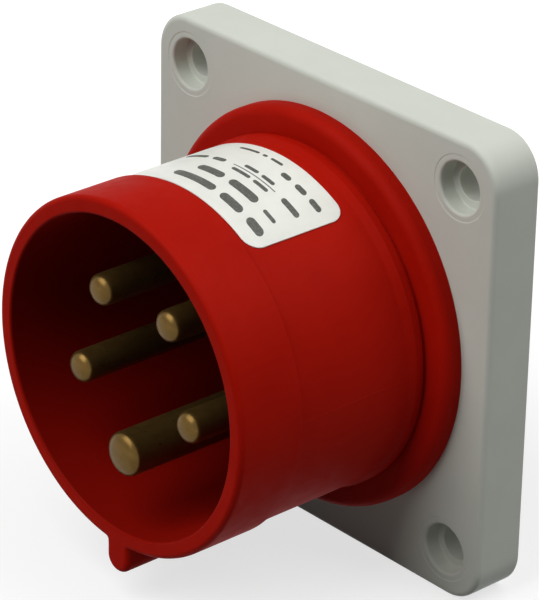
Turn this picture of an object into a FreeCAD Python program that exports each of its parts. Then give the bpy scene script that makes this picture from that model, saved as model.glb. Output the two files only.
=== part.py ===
import FreeCAD, Part
import math
import os

import Sketcher

# Industrial panel inlet, five poles, 16 A.
# Every body is drawn with its local Z pointing out of the panel, towards the mouth of the shroud,
# local X to the right and local Y up, and is then turned so that the barrel points along -Y.
# Local Z is 0 on the panel face, which is also the back of the flange.

PARTS_FOLDER = "parts"

POLE_COUNT = 5
CORNER_COUNT = 4
HEXAGON_SIDES = 6

# Angles in degrees.
FULL_TURN = 360.0
HALF_TURN = 180.0
QUARTER_TURN = 90.0
DIAGONAL_ANGLE = 45.0
EARTH_ANGLE = -90.0

# Pin names in their order round the circle, starting at the earth pin.
PIN_NAMES = ["earth_pin", "phase_pin_1", "phase_pin_2", "phase_pin_3", "neutral_pin"]

# Coordinate that lies on an axis of its sketch.
ON_AXIS = "0"

# Centres of the four fixing holes.
CORNERS = [
    ("Places.HoleOffset", "Places.HoleOffset"),
    ("-Places.HoleOffset", "Places.HoleOffset"),
    ("-Places.HoleOffset", "-Places.HoleOffset"),
    ("Places.HoleOffset", "-Places.HoleOffset"),
]

# Slack of the comparisons, in millimetres.
TOLERANCE = 1e-4

# Driving dimensions, in millimetres unless the name says degrees.
SIZES = {
    # Flange
    "FlangeMargin": 5.35,
    "FlangeThickness": 8.7,
    "FlangeCornerRadius": 6.5,
    "FlangeEdgeRadius": 0.9,
    "FlangeRimWidth": 1.9,
    "FlangeFrontWall": 3.0,
    "HoleInset": 7.5,
    "ScrewHoleDiameter": 5.4,
    "CounterboreDiameter": 8.2,
    "CounterboreDepth": 2.7,
    "CounterboreChamfer": 0.3,
    "SpotFaceDiameter": 10.7,
    "SpotFaceDepth": 0.12,
    "FixingBossDiameter": 12.4,
    "PostDiameter": 8.6,
    "HubWall": 2.2,
    "CoringStart": 13.0,
    # Shroud
    "MouthDistance": 48.0,
    "ShroudDiameter": 56.0,
    "ShroudWall": 2.7,
    "MouthBandLength": 11.4,
    "RecessDepth": 0.5,
    "RecessStepLength": 0.4,
    "ShoulderLength": 1.4,
    "RearBandLength": 1.9,
    "RimOuterRadius": 0.9,
    "RimInnerChamfer": 0.35,
    "CollarWidth": 4.15,
    "CollarThickness": 3.2,
    "CollarEdgeRadius": 1.6,
    "NeckWall": 1.4,
    "NeckClearance": 0.2,
    "NeckRearGap": 0.2,
    "LedgeWidth": 1.9,
    "LedgeThickness": 1.5,
    "KeyWidth": 5.0,
    "KeyHeight": 4.8,
    "PolarisingRibWidth": 2.6,
    "PolarisingRibHeight": 1.2,
    "PolarisingClearance": 0.2,
    # Fastening of the shroud
    "PillarStandOff": 2.0,
    "PillarDiameter": 4.8,
    "SocketFloor": 2.5,
    "PillarClearance": 0.2,
    "RetainingScrewDiameter": 2.6,
    "ScrewTipCover": 1.8,
    "RetainingHeadDiameter": 4.8,
    "RetainingHeadHeight": 1.8,
    "RetainingWasherDiameter": 5.2,
    "RetainingWasherThickness": 0.5,
    "ScrewClearance": 0.05,
    "ThroughClearance": 0.15,
    "RingMargin": 3.0,
    "RingLap": 3.1,
    "RingThickness": 2.4,
    "RingBeadWidth": 1.4,
    "RingBeadHeight": 2.0,
    # Seals
    "GasketThickness": 2.0,
    "GasketClearance": 0.2,
    "CollarSealThickness": 0.8,
    "CollarSealInset": 0.3,
    "CollarSealClearance": 0.15,
    "CarrierSealThickness": 1.0,
    # Insulators
    "FloorLift": 0.3,
    "CarrierClearance": 0.25,
    "ContactPlateThickness": 3.5,
    "FloorRise": 0.9,
    "FloorRiseClearance": 0.3,
    "PinCollarWall": 0.8,
    "PinCollarHeight": 1.2,
    "TowerDiameter": 12.4,
    "TowerFloor": 2.0,
    "TowerEdgeChamfer": 0.5,
    "BarrelClearance": 0.1,
    "WireEntryDiameter": 5.6,
    "WireFunnel": 0.9,
    "ScrewAccessDiameter": 6.2,
    "BarrierThickness": 1.5,
    "BarrierClearance": 2.0,
    "BlockHubDiameter": 12.0,
    "BlockHubLength": 7.2,
    # Centre screw
    "BlockScrewDiameter": 4.0,
    "BlockScrewProud": 1.0,
    "BlockHeadDiameter": 7.0,
    "BlockHeadHeight": 2.4,
    "BlockWasherDiameter": 8.2,
    "BlockWasherThickness": 0.8,
    "BlockCounterboreDepth": 2.9,
    "BlockCounterboreClearance": 0.2,
    "NutAcrossFlats": 7.0,
    "NutHeight": 3.2,
    "NutClearance": 0.1,
    # Pins
    "PinCircleShare": 0.5178,
    "PhasePinDiameter": 5.0,
    "EarthPinDiameter": 7.0,
    "PhaseTipDepth": 2.3,
    "EarthTipDepth": 0.3,
    "PinTipRadius": 1.5,
    "PinShoulder": 0.4,
    "PinShoulderProud": 0.1,
    "PinClearance": 0.05,
    "BarrelDiameter": 9.0,
    "BarrelLength": 18.5,
    "WireBoreDiameter": 4.4,
    "WireBoreDepth": 10.0,
    # Terminal screws
    "TerminalScrewDiameter": 4.0,
    "TerminalScrewFromRear": 5.0,
    "TerminalScrewRetreat": 0.1,
    "TerminalHeadDiameter": 5.6,
    "TerminalHeadHeight": 2.2,
    "TerminalHeadGap": 0.3,
    "SlotWidth": 0.9,
    "SlotDepth": 1.0,
    # Label
    "LabelWidthDegrees": 64.5,
    "LabelTurnDegrees": 87.8,
    "LabelFrontMargin": 0.4,
    "LabelRearMargin": 2.0,
    "LabelThickness": 0.15,
    "LabelGlue": 0.05,
    "LabelCornerRadius": 2.6,
}

# Places worked out from the driving dimensions. Radii are measured from the axis of the barrel
# and distances along it from the panel face.
PLACES = {
    "ShroudInnerRadius": "Sizes.ShroudDiameter / 2 - Sizes.ShroudWall",
    "CollarRadius": "Sizes.ShroudDiameter / 2 + Sizes.CollarWidth",
    "FlangeHalfSide": "Places.CollarRadius + Sizes.FlangeMargin",
    "HoleOffset": "Places.FlangeHalfSide - Sizes.HoleInset",
    "RecessRadius": "Sizes.ShroudDiameter / 2 - Sizes.RecessDepth",
    "RecessFront": "Sizes.MouthDistance - Sizes.MouthBandLength - Sizes.RecessStepLength",
    "CollarFront": "Sizes.FlangeThickness + Sizes.CollarThickness",
    "RecessRear": "Places.CollarFront + Sizes.RearBandLength + Sizes.ShoulderLength",
    "FloorDistance": "Sizes.FlangeThickness + Sizes.FloorLift",
    "NeckRadius": "Places.ShroudInnerRadius + Sizes.NeckWall",
    "NeckRear": "Sizes.GasketThickness + Sizes.NeckRearGap",
    "BoreRadius": "Places.NeckRadius + Sizes.NeckClearance",
    "LedgeRadius": "Places.ShroudInnerRadius - Sizes.LedgeWidth",
    "LedgeFront": "Places.FloorDistance + Sizes.LedgeThickness",
    "KeyReach": "Sizes.ShroudDiameter / 2 + Sizes.KeyHeight",
    "KeyRoundCentre": "Places.KeyReach - Sizes.KeyWidth / 2",
    "KeyRoot": "Sizes.ShroudDiameter / 2 - Sizes.ShroudWall / 2",
    "PillarCircleRadius": "Places.NeckRadius + Sizes.PillarStandOff",
    "PillarOffset": f"Places.PillarCircleRadius * cos({DIAGONAL_ANGLE})",
    "PillarEnd": "Sizes.GasketThickness + Sizes.SocketFloor",
    "SocketEnd": "Places.PillarEnd - Sizes.PillarClearance",
    "RingRadius": "Places.PillarCircleRadius + Sizes.RingMargin",
    "RingBoreRadius": "Places.ShroudInnerRadius - Sizes.RingLap",
    "RingFront": "Sizes.GasketThickness",
    "RingRear": "Places.RingFront - Sizes.RingThickness",
    "RingBeadRear": "Places.RingRear - Sizes.RingBeadHeight",
    "CollarSealOuterRadius": "Places.CollarRadius - Sizes.CollarSealInset",
    "CollarSealBed": "Sizes.FlangeThickness - Sizes.CollarSealThickness",
    "GasketHalfSide": "Places.FlangeHalfSide - Sizes.FlangeRimWidth",
    "HubRadius": "Places.RingRadius + Sizes.HubWall",
    "CoringEdge": "Places.HoleOffset - Sizes.FixingBossDiameter / 2",
    "CoringTop": "Sizes.FlangeThickness - Sizes.FlangeFrontWall",
    "CarrierRadius": "Places.ShroudInnerRadius - Sizes.CarrierClearance",
    "PlateRear": "Places.FloorDistance - Sizes.ContactPlateThickness",
    "PlateShoulder": "Places.FloorDistance - Sizes.CarrierSealThickness",
    "PlateRadius": "Places.LedgeRadius - Sizes.FloorRiseClearance",
    "PlateFace": "Places.FloorDistance + Sizes.FloorRise",
    "PinCollarTop": "Places.PlateFace + Sizes.PinCollarHeight",
    "PinShoulderTop": "Places.PinCollarTop + Sizes.PinShoulderProud",
    "PinCircleRadius": "Places.ShroudInnerRadius * Sizes.PinCircleShare",
    "PhaseTipDistance": "Sizes.MouthDistance - Sizes.PhaseTipDepth",
    "EarthTipDistance": "Sizes.MouthDistance - Sizes.EarthTipDepth",
    "PlateSeat": "Places.PlateFace - Sizes.BlockCounterboreDepth",
    "BlockRimRear": "Places.RingFront",
    "BlockRimThickness": "Places.PlateRear - Places.BlockRimRear",
    "BarrierReach": "Places.RingBoreRadius - Sizes.BarrierClearance",
    "BarrelRear": "Places.PlateRear - Sizes.BarrelLength",
    "PocketRear": "Places.BarrelRear - Sizes.BarrelClearance",
    "TowerRear": "Places.PocketRear - Sizes.TowerFloor",
    "HubRear": "Places.BlockRimRear - Sizes.BlockHubLength",
    "NutSeat": "Places.HubRear + Sizes.NutHeight + Sizes.NutClearance",
    "NutPocketFlats": "Sizes.NutAcrossFlats + 2 * Sizes.NutClearance",
    "TerminalScrewHeight": "Places.BarrelRear + Sizes.TerminalScrewFromRear",
    "TerminalScrewTip": "Places.PinCircleRadius + Sizes.WireBoreDiameter / 2 + Sizes.TerminalScrewRetreat",
    "TerminalHeadSeat": "Places.PinCircleRadius + Sizes.BarrelDiameter / 2 + Sizes.TerminalHeadGap",
    "TerminalHeadTop": "Places.TerminalHeadSeat + Sizes.TerminalHeadHeight",
    "WasherFace": "Places.PlateSeat + Sizes.BlockWasherThickness",
    "BlockHeadTop": "Places.WasherFace + Sizes.BlockHeadHeight",
    "BlockScrewEnd": "Places.HubRear - Sizes.BlockScrewProud",
    "RetainingHeadSeat": "Places.RingRear - Sizes.RetainingWasherThickness",
    "RetainingHeadRear": "Places.RetainingHeadSeat - Sizes.RetainingHeadHeight",
    "RetainingScrewTip": "Places.CollarFront - Sizes.ScrewTipCover",
    "LabelInnerRadius": "Places.RecessRadius + Sizes.LabelGlue",
    "LabelOuterRadius": "Places.LabelInnerRadius + Sizes.LabelThickness",
    "LabelFront": "Places.RecessFront - Sizes.LabelFrontMargin",
    "LabelRear": "Places.RecessRear + Sizes.LabelRearMargin",
}

def new_sheet(document):
    """Spreadsheet of the driving dimensions, one named cell for each."""
    sheet = document.addObject("Spreadsheet::Sheet", "Sizes")
    for row, (name, size) in enumerate(SIZES.items(), start=1):
        sheet.set(f"A{row}", name)
        sheet.set(f"B{row}", str(size))
        sheet.setAlias(f"B{row}", name)
    document.recompute()
    return sheet


def new_places(document):
    """Set of the derived radii and distances, each bound to the driving dimensions."""
    places = document.addObject("App::VarSet", "Places")
    for name in PLACES:
        places.addProperty("App::PropertyFloat", name)
    for name, expression in PLACES.items():
        places.setExpression(name, expression)
    document.recompute()
    return places


def facing_panel(turn=0.0):
    """Placement that turns local Z to the front, after a turn in degrees about the barrel's axis."""
    forward = FreeCAD.Rotation(FreeCAD.Vector(1, 0, 0), 90)
    about_axis = FreeCAD.Rotation(FreeCAD.Vector(0, 0, 1), turn)
    return FreeCAD.Placement(FreeCAD.Vector(0, 0, 0), forward.multiply(about_axis))


def new_body(document, name, turn=0.0):
    """Empty body with its own label, turned to face out of the panel."""
    body = document.addObject("PartDesign::Body", name)
    body.Label = name
    body.AllowCompound = True
    body.Placement = facing_panel(turn)
    return body


def origin_part(body, role):
    """Origin plane or axis of the body, found by its role."""
    return next(part for part in body.Origin.OriginFeatures if part.Role == role)


def sketch_on(body, name, role="XY_Plane", lift=None, along="z"):
    """Sketch on an origin plane, lifted along one of the plane's axes by an expression."""
    sketch = body.newObject("Sketcher::SketchObject", f"{body.Name}_{name}")
    sketch.AttachmentSupport = [(origin_part(body, role), "")]
    sketch.MapMode = "FlatFace"
    if lift is not None:
        sketch.setExpression(f"AttachmentOffset.Base.{along}", lift)
    return sketch


def constrain(sketch, constraint, expression):
    """Adds a measured constraint that follows the expression."""
    index = sketch.addConstraint(constraint)
    sketch.setExpression(f"Constraints[{index}]", expression)


def place_point(sketch, geometry, point, x, y):
    """Ties a point of the sketch to coordinates, each an expression or the word for on the axis."""
    if x == ON_AXIS:
        sketch.addConstraint(Sketcher.Constraint("PointOnObject", geometry, point, -2))
    else:
        constrain(sketch, Sketcher.Constraint("DistanceX", -1, 1, geometry, point, 1.0), x)
    if y == ON_AXIS:
        sketch.addConstraint(Sketcher.Constraint("PointOnObject", geometry, point, -1))
    else:
        constrain(sketch, Sketcher.Constraint("DistanceY", -1, 1, geometry, point, 1.0), y)


def add_circle(sketch, diameter, x=ON_AXIS, y=ON_AXIS):
    """Circle of the given diameter with its centre at x, y."""
    start = Part.Circle(FreeCAD.Vector(1, 1, 0), FreeCAD.Vector(0, 0, 1), 1.0)
    circle = sketch.addGeometry(start, False)
    constrain(sketch, Sketcher.Constraint("Diameter", circle, 2.0), diameter)
    place_point(sketch, circle, 3, x, y)
    return circle


def add_polygon(sketch, corners):
    """Closed outline of straight lines through corners given as pairs of expressions."""
    count = len(corners)
    angles = [2 * math.pi * index / count for index in range(count)]
    starts = [FreeCAD.Vector(math.cos(angle), math.sin(angle), 0) for angle in angles]
    lines = []
    for index, start in enumerate(starts):
        end = starts[(index + 1) % count]
        lines.append(sketch.addGeometry(Part.LineSegment(start, end), False))
    for index, line in enumerate(lines):
        following = lines[(index + 1) % count]
        sketch.addConstraint(Sketcher.Constraint("Coincident", line, 2, following, 1))
    for line, (x, y) in zip(lines, corners):
        place_point(sketch, line, 1, x, y)
    return lines


def add_rectangle(sketch, left, right, bottom, top):
    """Rectangle between four expressions."""
    return add_polygon(sketch, [(left, bottom), (right, bottom), (right, top), (left, top)])


def add_rounded_square(sketch, half_side, corner_radius):
    """Square about the origin with rounded corners."""
    side, radius = 2.0, 1.0
    inset = side - radius
    lines = []
    arcs = []
    for turn in range(CORNER_COUNT):
        rotation = FreeCAD.Rotation(FreeCAD.Vector(0, 0, 1), QUARTER_TURN * turn)
        start = rotation.multVec(FreeCAD.Vector(side, -inset, 0))
        end = rotation.multVec(FreeCAD.Vector(side, inset, 0))
        centre = rotation.multVec(FreeCAD.Vector(inset, inset, 0))
        first = math.radians(QUARTER_TURN * turn)
        last = math.radians(QUARTER_TURN * (turn + 1))
        circle = Part.Circle(centre, FreeCAD.Vector(0, 0, 1), radius)
        lines.append(sketch.addGeometry(Part.LineSegment(start, end), False))
        arcs.append(sketch.addGeometry(Part.ArcOfCircle(circle, first, last), False))
    for turn, (line, arc) in enumerate(zip(lines, arcs)):
        following = lines[(turn + 1) % len(lines)]
        sketch.addConstraint(Sketcher.Constraint("Tangent", line, 2, arc, 1))
        sketch.addConstraint(Sketcher.Constraint("Tangent", arc, 2, following, 1))
        sketch.addConstraint(Sketcher.Constraint("Horizontal" if turn % 2 else "Vertical", line))
        direction = "DistanceY" if turn % 2 else "DistanceX"
        sign = "" if turn < CORNER_COUNT / 2 else "-"
        constrain(sketch, Sketcher.Constraint(direction, -1, 1, line, 1, side), f"{sign}({half_side})")
    for arc in arcs[1:]:
        sketch.addConstraint(Sketcher.Constraint("Equal", arcs[0], arc))
    constrain(sketch, Sketcher.Constraint("Radius", arcs[0], radius), corner_radius)


def finish(body, feature):
    """Makes a feature the tip of its body and recomputes it."""
    body.Tip = feature
    body.Document.recompute()
    return feature


def pad(body, sketch, name, length, backwards=False):
    """Pad of a sketch by an expression, forwards or backwards."""
    feature = body.newObject("PartDesign::Pad", f"{body.Name}_{name}")
    feature.Profile = sketch
    feature.Reversed = backwards
    feature.setExpression("Length", length)
    return finish(body, feature)


def pocket(body, sketch, name, depth, forwards=False):
    """Pocket of a sketch by an expression, towards the panel or forwards."""
    feature = body.newObject("PartDesign::Pocket", f"{body.Name}_{name}")
    feature.Profile = sketch
    feature.Reversed = forwards
    feature.setExpression("Length", depth)
    before = feature.getParentGeoFeatureGroup().Shape.Volume
    finish(body, feature)
    if feature.Shape.Volume > before - TOLERANCE:
        raise RuntimeError(f"{feature.Name} removes nothing")
    return feature


def revolve(body, sketch, name, axis="V_Axis"):
    """Full turn of a sketch about one of its own axes."""
    feature = body.newObject("PartDesign::Revolution", f"{body.Name}_{name}")
    feature.Profile = sketch
    feature.ReferenceAxis = (sketch, [axis])
    feature.Angle = FULL_TURN
    return finish(body, feature)


def repeat(body, features, name, count):
    """Polar pattern of features about the barrel's axis."""
    feature = body.newObject("PartDesign::PolarPattern", f"{body.Name}_{name}")
    feature.Originals = features
    feature.Axis = (origin_part(body, "Z_Axis"), [""])
    feature.Angle = FULL_TURN
    feature.Occurrences = count
    return finish(body, feature)


def edges_where(feature, test):
    """Names of the feature's edges that pass a test."""
    found = [f"Edge{index}" for index, edge in enumerate(feature.Shape.Edges, start=1) if test(edge)]
    if not found:
        raise RuntimeError(f"no edge found on {feature.Name}")
    return found


def fillet(body, base, name, radius, test):
    """Fillet of the edges of the last feature that pass a test."""
    feature = body.newObject("PartDesign::Fillet", f"{body.Name}_{name}")
    feature.Base = (base, edges_where(base, test))
    feature.setExpression("Radius", radius)
    return finish(body, feature)


def chamfer(body, base, name, size, test):
    """Equal chamfer of the edges of the last feature that pass a test."""
    feature = body.newObject("PartDesign::Chamfer", f"{body.Name}_{name}")
    feature.Base = (base, edges_where(base, test))
    feature.setExpression("Size", size)
    return finish(body, feature)


def is_level(edge, height):
    """True for an edge that lies wholly at one height."""
    box = edge.BoundBox
    return abs(box.ZMin - height) < TOLERANCE and abs(box.ZMax - height) < TOLERANCE


def is_round(edge, radius, height):
    """True for an edge of a given radius, part or full circle, at one height."""
    if not is_level(edge, height) or not isinstance(edge.Curve, Part.Circle):
        return False
    return abs(edge.Curve.Radius - radius) < TOLERANCE


def mounting_flange(document, sizes):
    """Square flange, hollow at the back, with the bore for the neck and four fixing holes."""
    body = new_body(document, "mounting_flange")
    outline = sketch_on(body, "outline")
    add_rounded_square(outline, "Places.FlangeHalfSide", "Sizes.FlangeCornerRadius")
    plate = pad(body, outline, "plate", "Sizes.FlangeThickness")
    top = sizes.FlangeThickness
    fillet(body, plate, "front_edge", "Sizes.FlangeEdgeRadius", lambda edge: is_level(edge, top))
    bed = sketch_on(body, "gasket_bed_outline")
    add_rounded_square(bed, "Places.GasketHalfSide", "Sizes.FlangeCornerRadius - Sizes.FlangeRimWidth")
    for x, y in CORNERS:
        add_circle(bed, "Sizes.PostDiameter", x, y)
    pocket(body, bed, "gasket_bed", "Sizes.GasketThickness", forwards=True)

    bore = sketch_on(body, "bore_outline")
    add_circle(bore, "2 * Places.BoreRadius")
    pocket(body, bore, "bore", "Sizes.FlangeThickness", forwards=True)
    bed = sketch_on(body, "seal_bed_outline", lift="Sizes.FlangeThickness")
    add_circle(bed, "2 * Places.CollarSealOuterRadius + 2 * Sizes.CollarSealClearance")
    pocket(body, bed, "seal_bed", "Sizes.CollarSealThickness")

    socket_outline = sketch_on(body, "socket_outline", lift="Sizes.FlangeThickness")
    offset = "Places.PillarOffset"
    add_circle(socket_outline, "Sizes.PillarDiameter + 2 * Sizes.PillarClearance", offset, offset)
    socket = pocket(body, socket_outline, "socket", "Sizes.FlangeThickness - Places.SocketEnd")
    repeat(body, [socket], "sockets", CORNER_COUNT)
    way_outline = sketch_on(body, "screw_way_outline")
    add_circle(way_outline, "Sizes.RetainingScrewDiameter + 2 * Sizes.ThroughClearance", offset, offset)
    way = pocket(body, way_outline, "screw_way", "Sizes.FlangeThickness", forwards=True)
    repeat(body, [way], "screw_ways", CORNER_COUNT)

    add_coring(body)
    add_fixing_holes(body, sizes)
    return body


def add_coring(body):
    """Eight hollows in the back of the flange, two beside each fixing boss."""
    near = "Sizes.CoringStart"
    far = "Places.CoringEdge"
    rim = "Places.GasketHalfSide - Sizes.GasketClearance"
    hub_near = "sqrt(Places.HubRadius ^ 2 - Sizes.CoringStart ^ 2)"
    hub_far = "sqrt(Places.HubRadius ^ 2 - Places.CoringEdge ^ 2)"
    outline = sketch_on(body, "coring_outline")
    add_polygon(outline, [(near, hub_near), (far, hub_far), (far, rim), (near, rim)])
    add_polygon(outline, [(hub_near, near), (rim, near), (rim, far), (hub_far, far)])
    hollow = pocket(body, outline, "coring", "Places.CoringTop", forwards=True)
    repeat(body, [hollow], "corings", CORNER_COUNT)


def add_fixing_holes(body, sizes):
    """Counterbored holes at the four corners, each in a shallow spot face."""
    spot_outline = sketch_on(body, "spot_outline", lift="Sizes.FlangeThickness")
    add_circle(spot_outline, "Sizes.SpotFaceDiameter", *CORNERS[0])
    spot = pocket(body, spot_outline, "spot_face", "Sizes.SpotFaceDepth")
    repeat(body, [spot], "spot_faces", CORNER_COUNT)

    centres = sketch_on(body, "hole_centres", lift="Sizes.FlangeThickness - Sizes.SpotFaceDepth")
    for x, y in CORNERS:
        add_circle(centres, "Sizes.ScrewHoleDiameter", x, y)
    body.Document.recompute()
    holes = body.newObject("PartDesign::Hole", f"{body.Name}_holes")
    holes.Profile = centres
    body.Document.recompute()
    holes.ThreadType = "None"
    holes.DepthType = "ThroughAll"
    holes.HoleCutType = "Counterbore"
    holes.HoleCutCustomValues = True
    holes.setExpression("Diameter", "Sizes.ScrewHoleDiameter")
    holes.setExpression("HoleCutDiameter", "Sizes.CounterboreDiameter")
    holes.setExpression("HoleCutDepth", "Sizes.CounterboreDepth")
    finish(body, holes)
    face = sizes.FlangeThickness - sizes.SpotFaceDepth
    chamfer(body, holes, "hole_edges", "Sizes.CounterboreChamfer",
            lambda edge: is_round(edge, sizes.CounterboreDiameter / 2, face))


def shroud_housing(document, sizes, places):
    """Red moulding: barrel with label recess and shoulder, collar, ledge, neck, key and pillars."""
    body = new_body(document, "shroud_housing")
    profile = sketch_on(body, "profile", role="XZ_Plane")
    inner = "Places.ShroudInnerRadius"
    outer = "Sizes.ShroudDiameter / 2"
    recess = "Places.RecessRadius"
    add_polygon(profile, [
        (inner, "Sizes.MouthDistance"),
        (outer, "Sizes.MouthDistance"),
        (outer, "Sizes.MouthDistance - Sizes.MouthBandLength"),
        (recess, "Places.RecessFront"),
        (recess, "Places.RecessRear"),
        (outer, "Places.RecessRear - Sizes.ShoulderLength"),
        (outer, "Places.CollarFront"),
        ("Places.CollarRadius", "Places.CollarFront"),
        ("Places.CollarRadius", "Sizes.FlangeThickness"),
        ("Places.NeckRadius", "Sizes.FlangeThickness"),
        ("Places.NeckRadius", "Places.NeckRear"),
        (inner, "Places.NeckRear"),
        (inner, "Places.FloorDistance"),
        ("Places.LedgeRadius", "Places.FloorDistance"),
        ("Places.LedgeRadius", "Places.LedgeFront"),
        (inner, "Places.LedgeFront"),
    ])
    shell = revolve(body, profile, "shell")
    mouth = sizes.MouthDistance
    front = places.CollarFront
    rim = fillet(body, shell, "rim_outside", "Sizes.RimOuterRadius",
                 lambda edge: is_round(edge, sizes.ShroudDiameter / 2, mouth))
    inside = chamfer(body, rim, "rim_inside", "Sizes.RimInnerChamfer",
                     lambda edge: is_round(edge, places.ShroudInnerRadius, mouth))
    fillet(body, inside, "collar_edge", "Sizes.CollarEdgeRadius",
           lambda edge: is_round(edge, places.CollarRadius, front))
    add_key(body, sizes)
    add_polarising_rib(body)
    add_pillars(body)
    return body


def add_key(body, sizes):
    """Key rib under the barrel, flush with the mouth, with a full-round crest."""
    key_outline = sketch_on(body, "key_outline", lift="Sizes.MouthDistance")
    half = "Sizes.KeyWidth / 2"
    half_width = sizes.KeyWidth / 2
    centre = FreeCAD.Vector(0, -half_width, 0)
    across = Part.Circle(centre, FreeCAD.Vector(0, 0, 1), half_width)
    crest = key_outline.addGeometry(Part.ArcOfCircle(across, math.pi, 2 * math.pi), False)
    corners = [FreeCAD.Vector(half_width, -half_width, 0), FreeCAD.Vector(half_width, 0, 0),
               FreeCAD.Vector(-half_width, 0, 0), FreeCAD.Vector(-half_width, -half_width, 0)]
    sides = []
    for start, end in zip(corners, corners[1:]):
        sides.append(key_outline.addGeometry(Part.LineSegment(start, end), False))
    right, root, left = sides
    key_outline.addConstraint(Sketcher.Constraint("Coincident", crest, 2, right, 1))
    key_outline.addConstraint(Sketcher.Constraint("Coincident", right, 2, root, 1))
    key_outline.addConstraint(Sketcher.Constraint("Coincident", root, 2, left, 1))
    key_outline.addConstraint(Sketcher.Constraint("Coincident", left, 2, crest, 1))
    place_point(key_outline, crest, 3, ON_AXIS, "-Places.KeyRoundCentre")
    place_point(key_outline, right, 1, half, "-Places.KeyRoundCentre")
    place_point(key_outline, root, 1, half, "-Places.KeyRoot")
    place_point(key_outline, root, 2, f"-{half}", "-Places.KeyRoot")
    constrain(key_outline, Sketcher.Constraint("DistanceY", -1, 1, left, 2, -1.0), "-Places.KeyRoundCentre")
    pad(body, key_outline, "key", "Sizes.MouthDistance - Places.CollarFront", backwards=True)


def add_polarising_rib(body):
    """Small rib inside the neck that sets the turn of the insulators."""
    rib_outline = sketch_on(body, "rib_outline", lift="Places.FloorDistance")
    half = "Sizes.PolarisingRibWidth / 2"
    add_rectangle(rib_outline, f"-{half}", half,
                  "-(Places.ShroudInnerRadius + Sizes.NeckWall / 2)",
                  "-(Places.ShroudInnerRadius - Sizes.PolarisingRibHeight)")
    pad(body, rib_outline, "rib", "Places.FloorDistance - Places.NeckRear", backwards=True)


def add_pillars(body):
    """Four cored screw pillars behind the collar."""
    offset = "Places.PillarOffset"
    pillar_outline = sketch_on(body, "pillar_outline", lift="Sizes.FlangeThickness")
    add_circle(pillar_outline, "Sizes.PillarDiameter", offset, offset)
    pillar = pad(body, pillar_outline, "pillar", "Sizes.FlangeThickness - Places.PillarEnd", backwards=True)
    repeat(body, [pillar], "pillars", CORNER_COUNT)
    core_outline = sketch_on(body, "core_outline", lift="Places.PillarEnd")
    add_circle(core_outline, "Sizes.RetainingScrewDiameter + 2 * Sizes.ScrewClearance", offset, offset)
    depth = "Places.RetainingScrewTip - Places.PillarEnd + Sizes.ScrewClearance"
    core = pocket(body, core_outline, "core", depth, forwards=True)
    repeat(body, [core], "cores", CORNER_COUNT)


def retaining_ring(document):
    """Ring behind the flange, with a stiffening bead, that presses the terminal block into the neck."""
    body = new_body(document, "retaining_ring", turn=DIAGONAL_ANGLE)
    profile = sketch_on(body, "profile", role="XZ_Plane")
    bore = "Places.RingBoreRadius"
    outer = "Places.RingRadius"
    add_polygon(profile, [
        (bore, "Places.RingFront"),
        (outer, "Places.RingFront"),
        (outer, "Places.RingRear"),
        (f"{bore} + Sizes.RingBeadWidth", "Places.RingRear"),
        (f"{bore} + Sizes.RingBeadWidth", "Places.RingBeadRear"),
        (bore, "Places.RingBeadRear"),
    ])
    revolve(body, profile, "section")
    hole_outline = sketch_on(body, "hole_outline", lift="Places.RingFront")
    add_circle(hole_outline, "Sizes.RetainingScrewDiameter + 2 * Sizes.ThroughClearance",
               "Places.PillarCircleRadius", ON_AXIS)
    hole = pocket(body, hole_outline, "hole", "Sizes.RingThickness")
    repeat(body, [hole], "holes", CORNER_COUNT)
    return body


def retaining_screws(document):
    """Four pan-head screws through the ring and flange into the pillars."""
    body = new_body(document, "retaining_screws", turn=DIAGONAL_ANGLE)
    head_outline = sketch_on(body, "head_outline", lift="Places.RetainingHeadRear")
    add_circle(head_outline, "Sizes.RetainingHeadDiameter", "Places.PillarCircleRadius", ON_AXIS)
    head = pad(body, head_outline, "head", "Sizes.RetainingHeadHeight")
    shank_outline = sketch_on(body, "shank_outline", lift="Places.RetainingHeadRear")
    add_circle(shank_outline, "Sizes.RetainingScrewDiameter", "Places.PillarCircleRadius", ON_AXIS)
    shank = pad(body, shank_outline, "shank", "Places.RetainingScrewTip - Places.RetainingHeadRear")
    slots = []
    for name, long_way in (("slot_across", True), ("slot_along", False)):
        slot_outline = sketch_on(body, f"{name}_outline", lift="Places.RetainingHeadRear")
        reach = "Sizes.RetainingScrewDiameter / 2"
        narrow = "Sizes.SlotWidth / 2"
        wide_x, wide_y = (reach, narrow) if long_way else (narrow, reach)
        add_rectangle(slot_outline, f"Places.PillarCircleRadius - {wide_x}",
                      f"Places.PillarCircleRadius + {wide_x}", f"-{wide_y}", wide_y)
        slots.append(pocket(body, slot_outline, name, "Sizes.SlotDepth", forwards=True))
    repeat(body, [head, shank] + slots, "screws", CORNER_COUNT)
    return body


def retaining_washers(document):
    """Four washers between the screw heads and the ring."""
    body = new_body(document, "retaining_washers", turn=DIAGONAL_ANGLE)
    outline = sketch_on(body, "outline", lift="Places.RetainingHeadSeat")
    add_circle(outline, "Sizes.RetainingWasherDiameter", "Places.PillarCircleRadius", ON_AXIS)
    add_circle(outline, "Sizes.RetainingScrewDiameter + 2 * Sizes.ThroughClearance",
               "Places.PillarCircleRadius", ON_AXIS)
    washer = pad(body, outline, "washer", "Sizes.RetainingWasherThickness")
    repeat(body, [washer], "washers", CORNER_COUNT)
    return body


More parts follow.
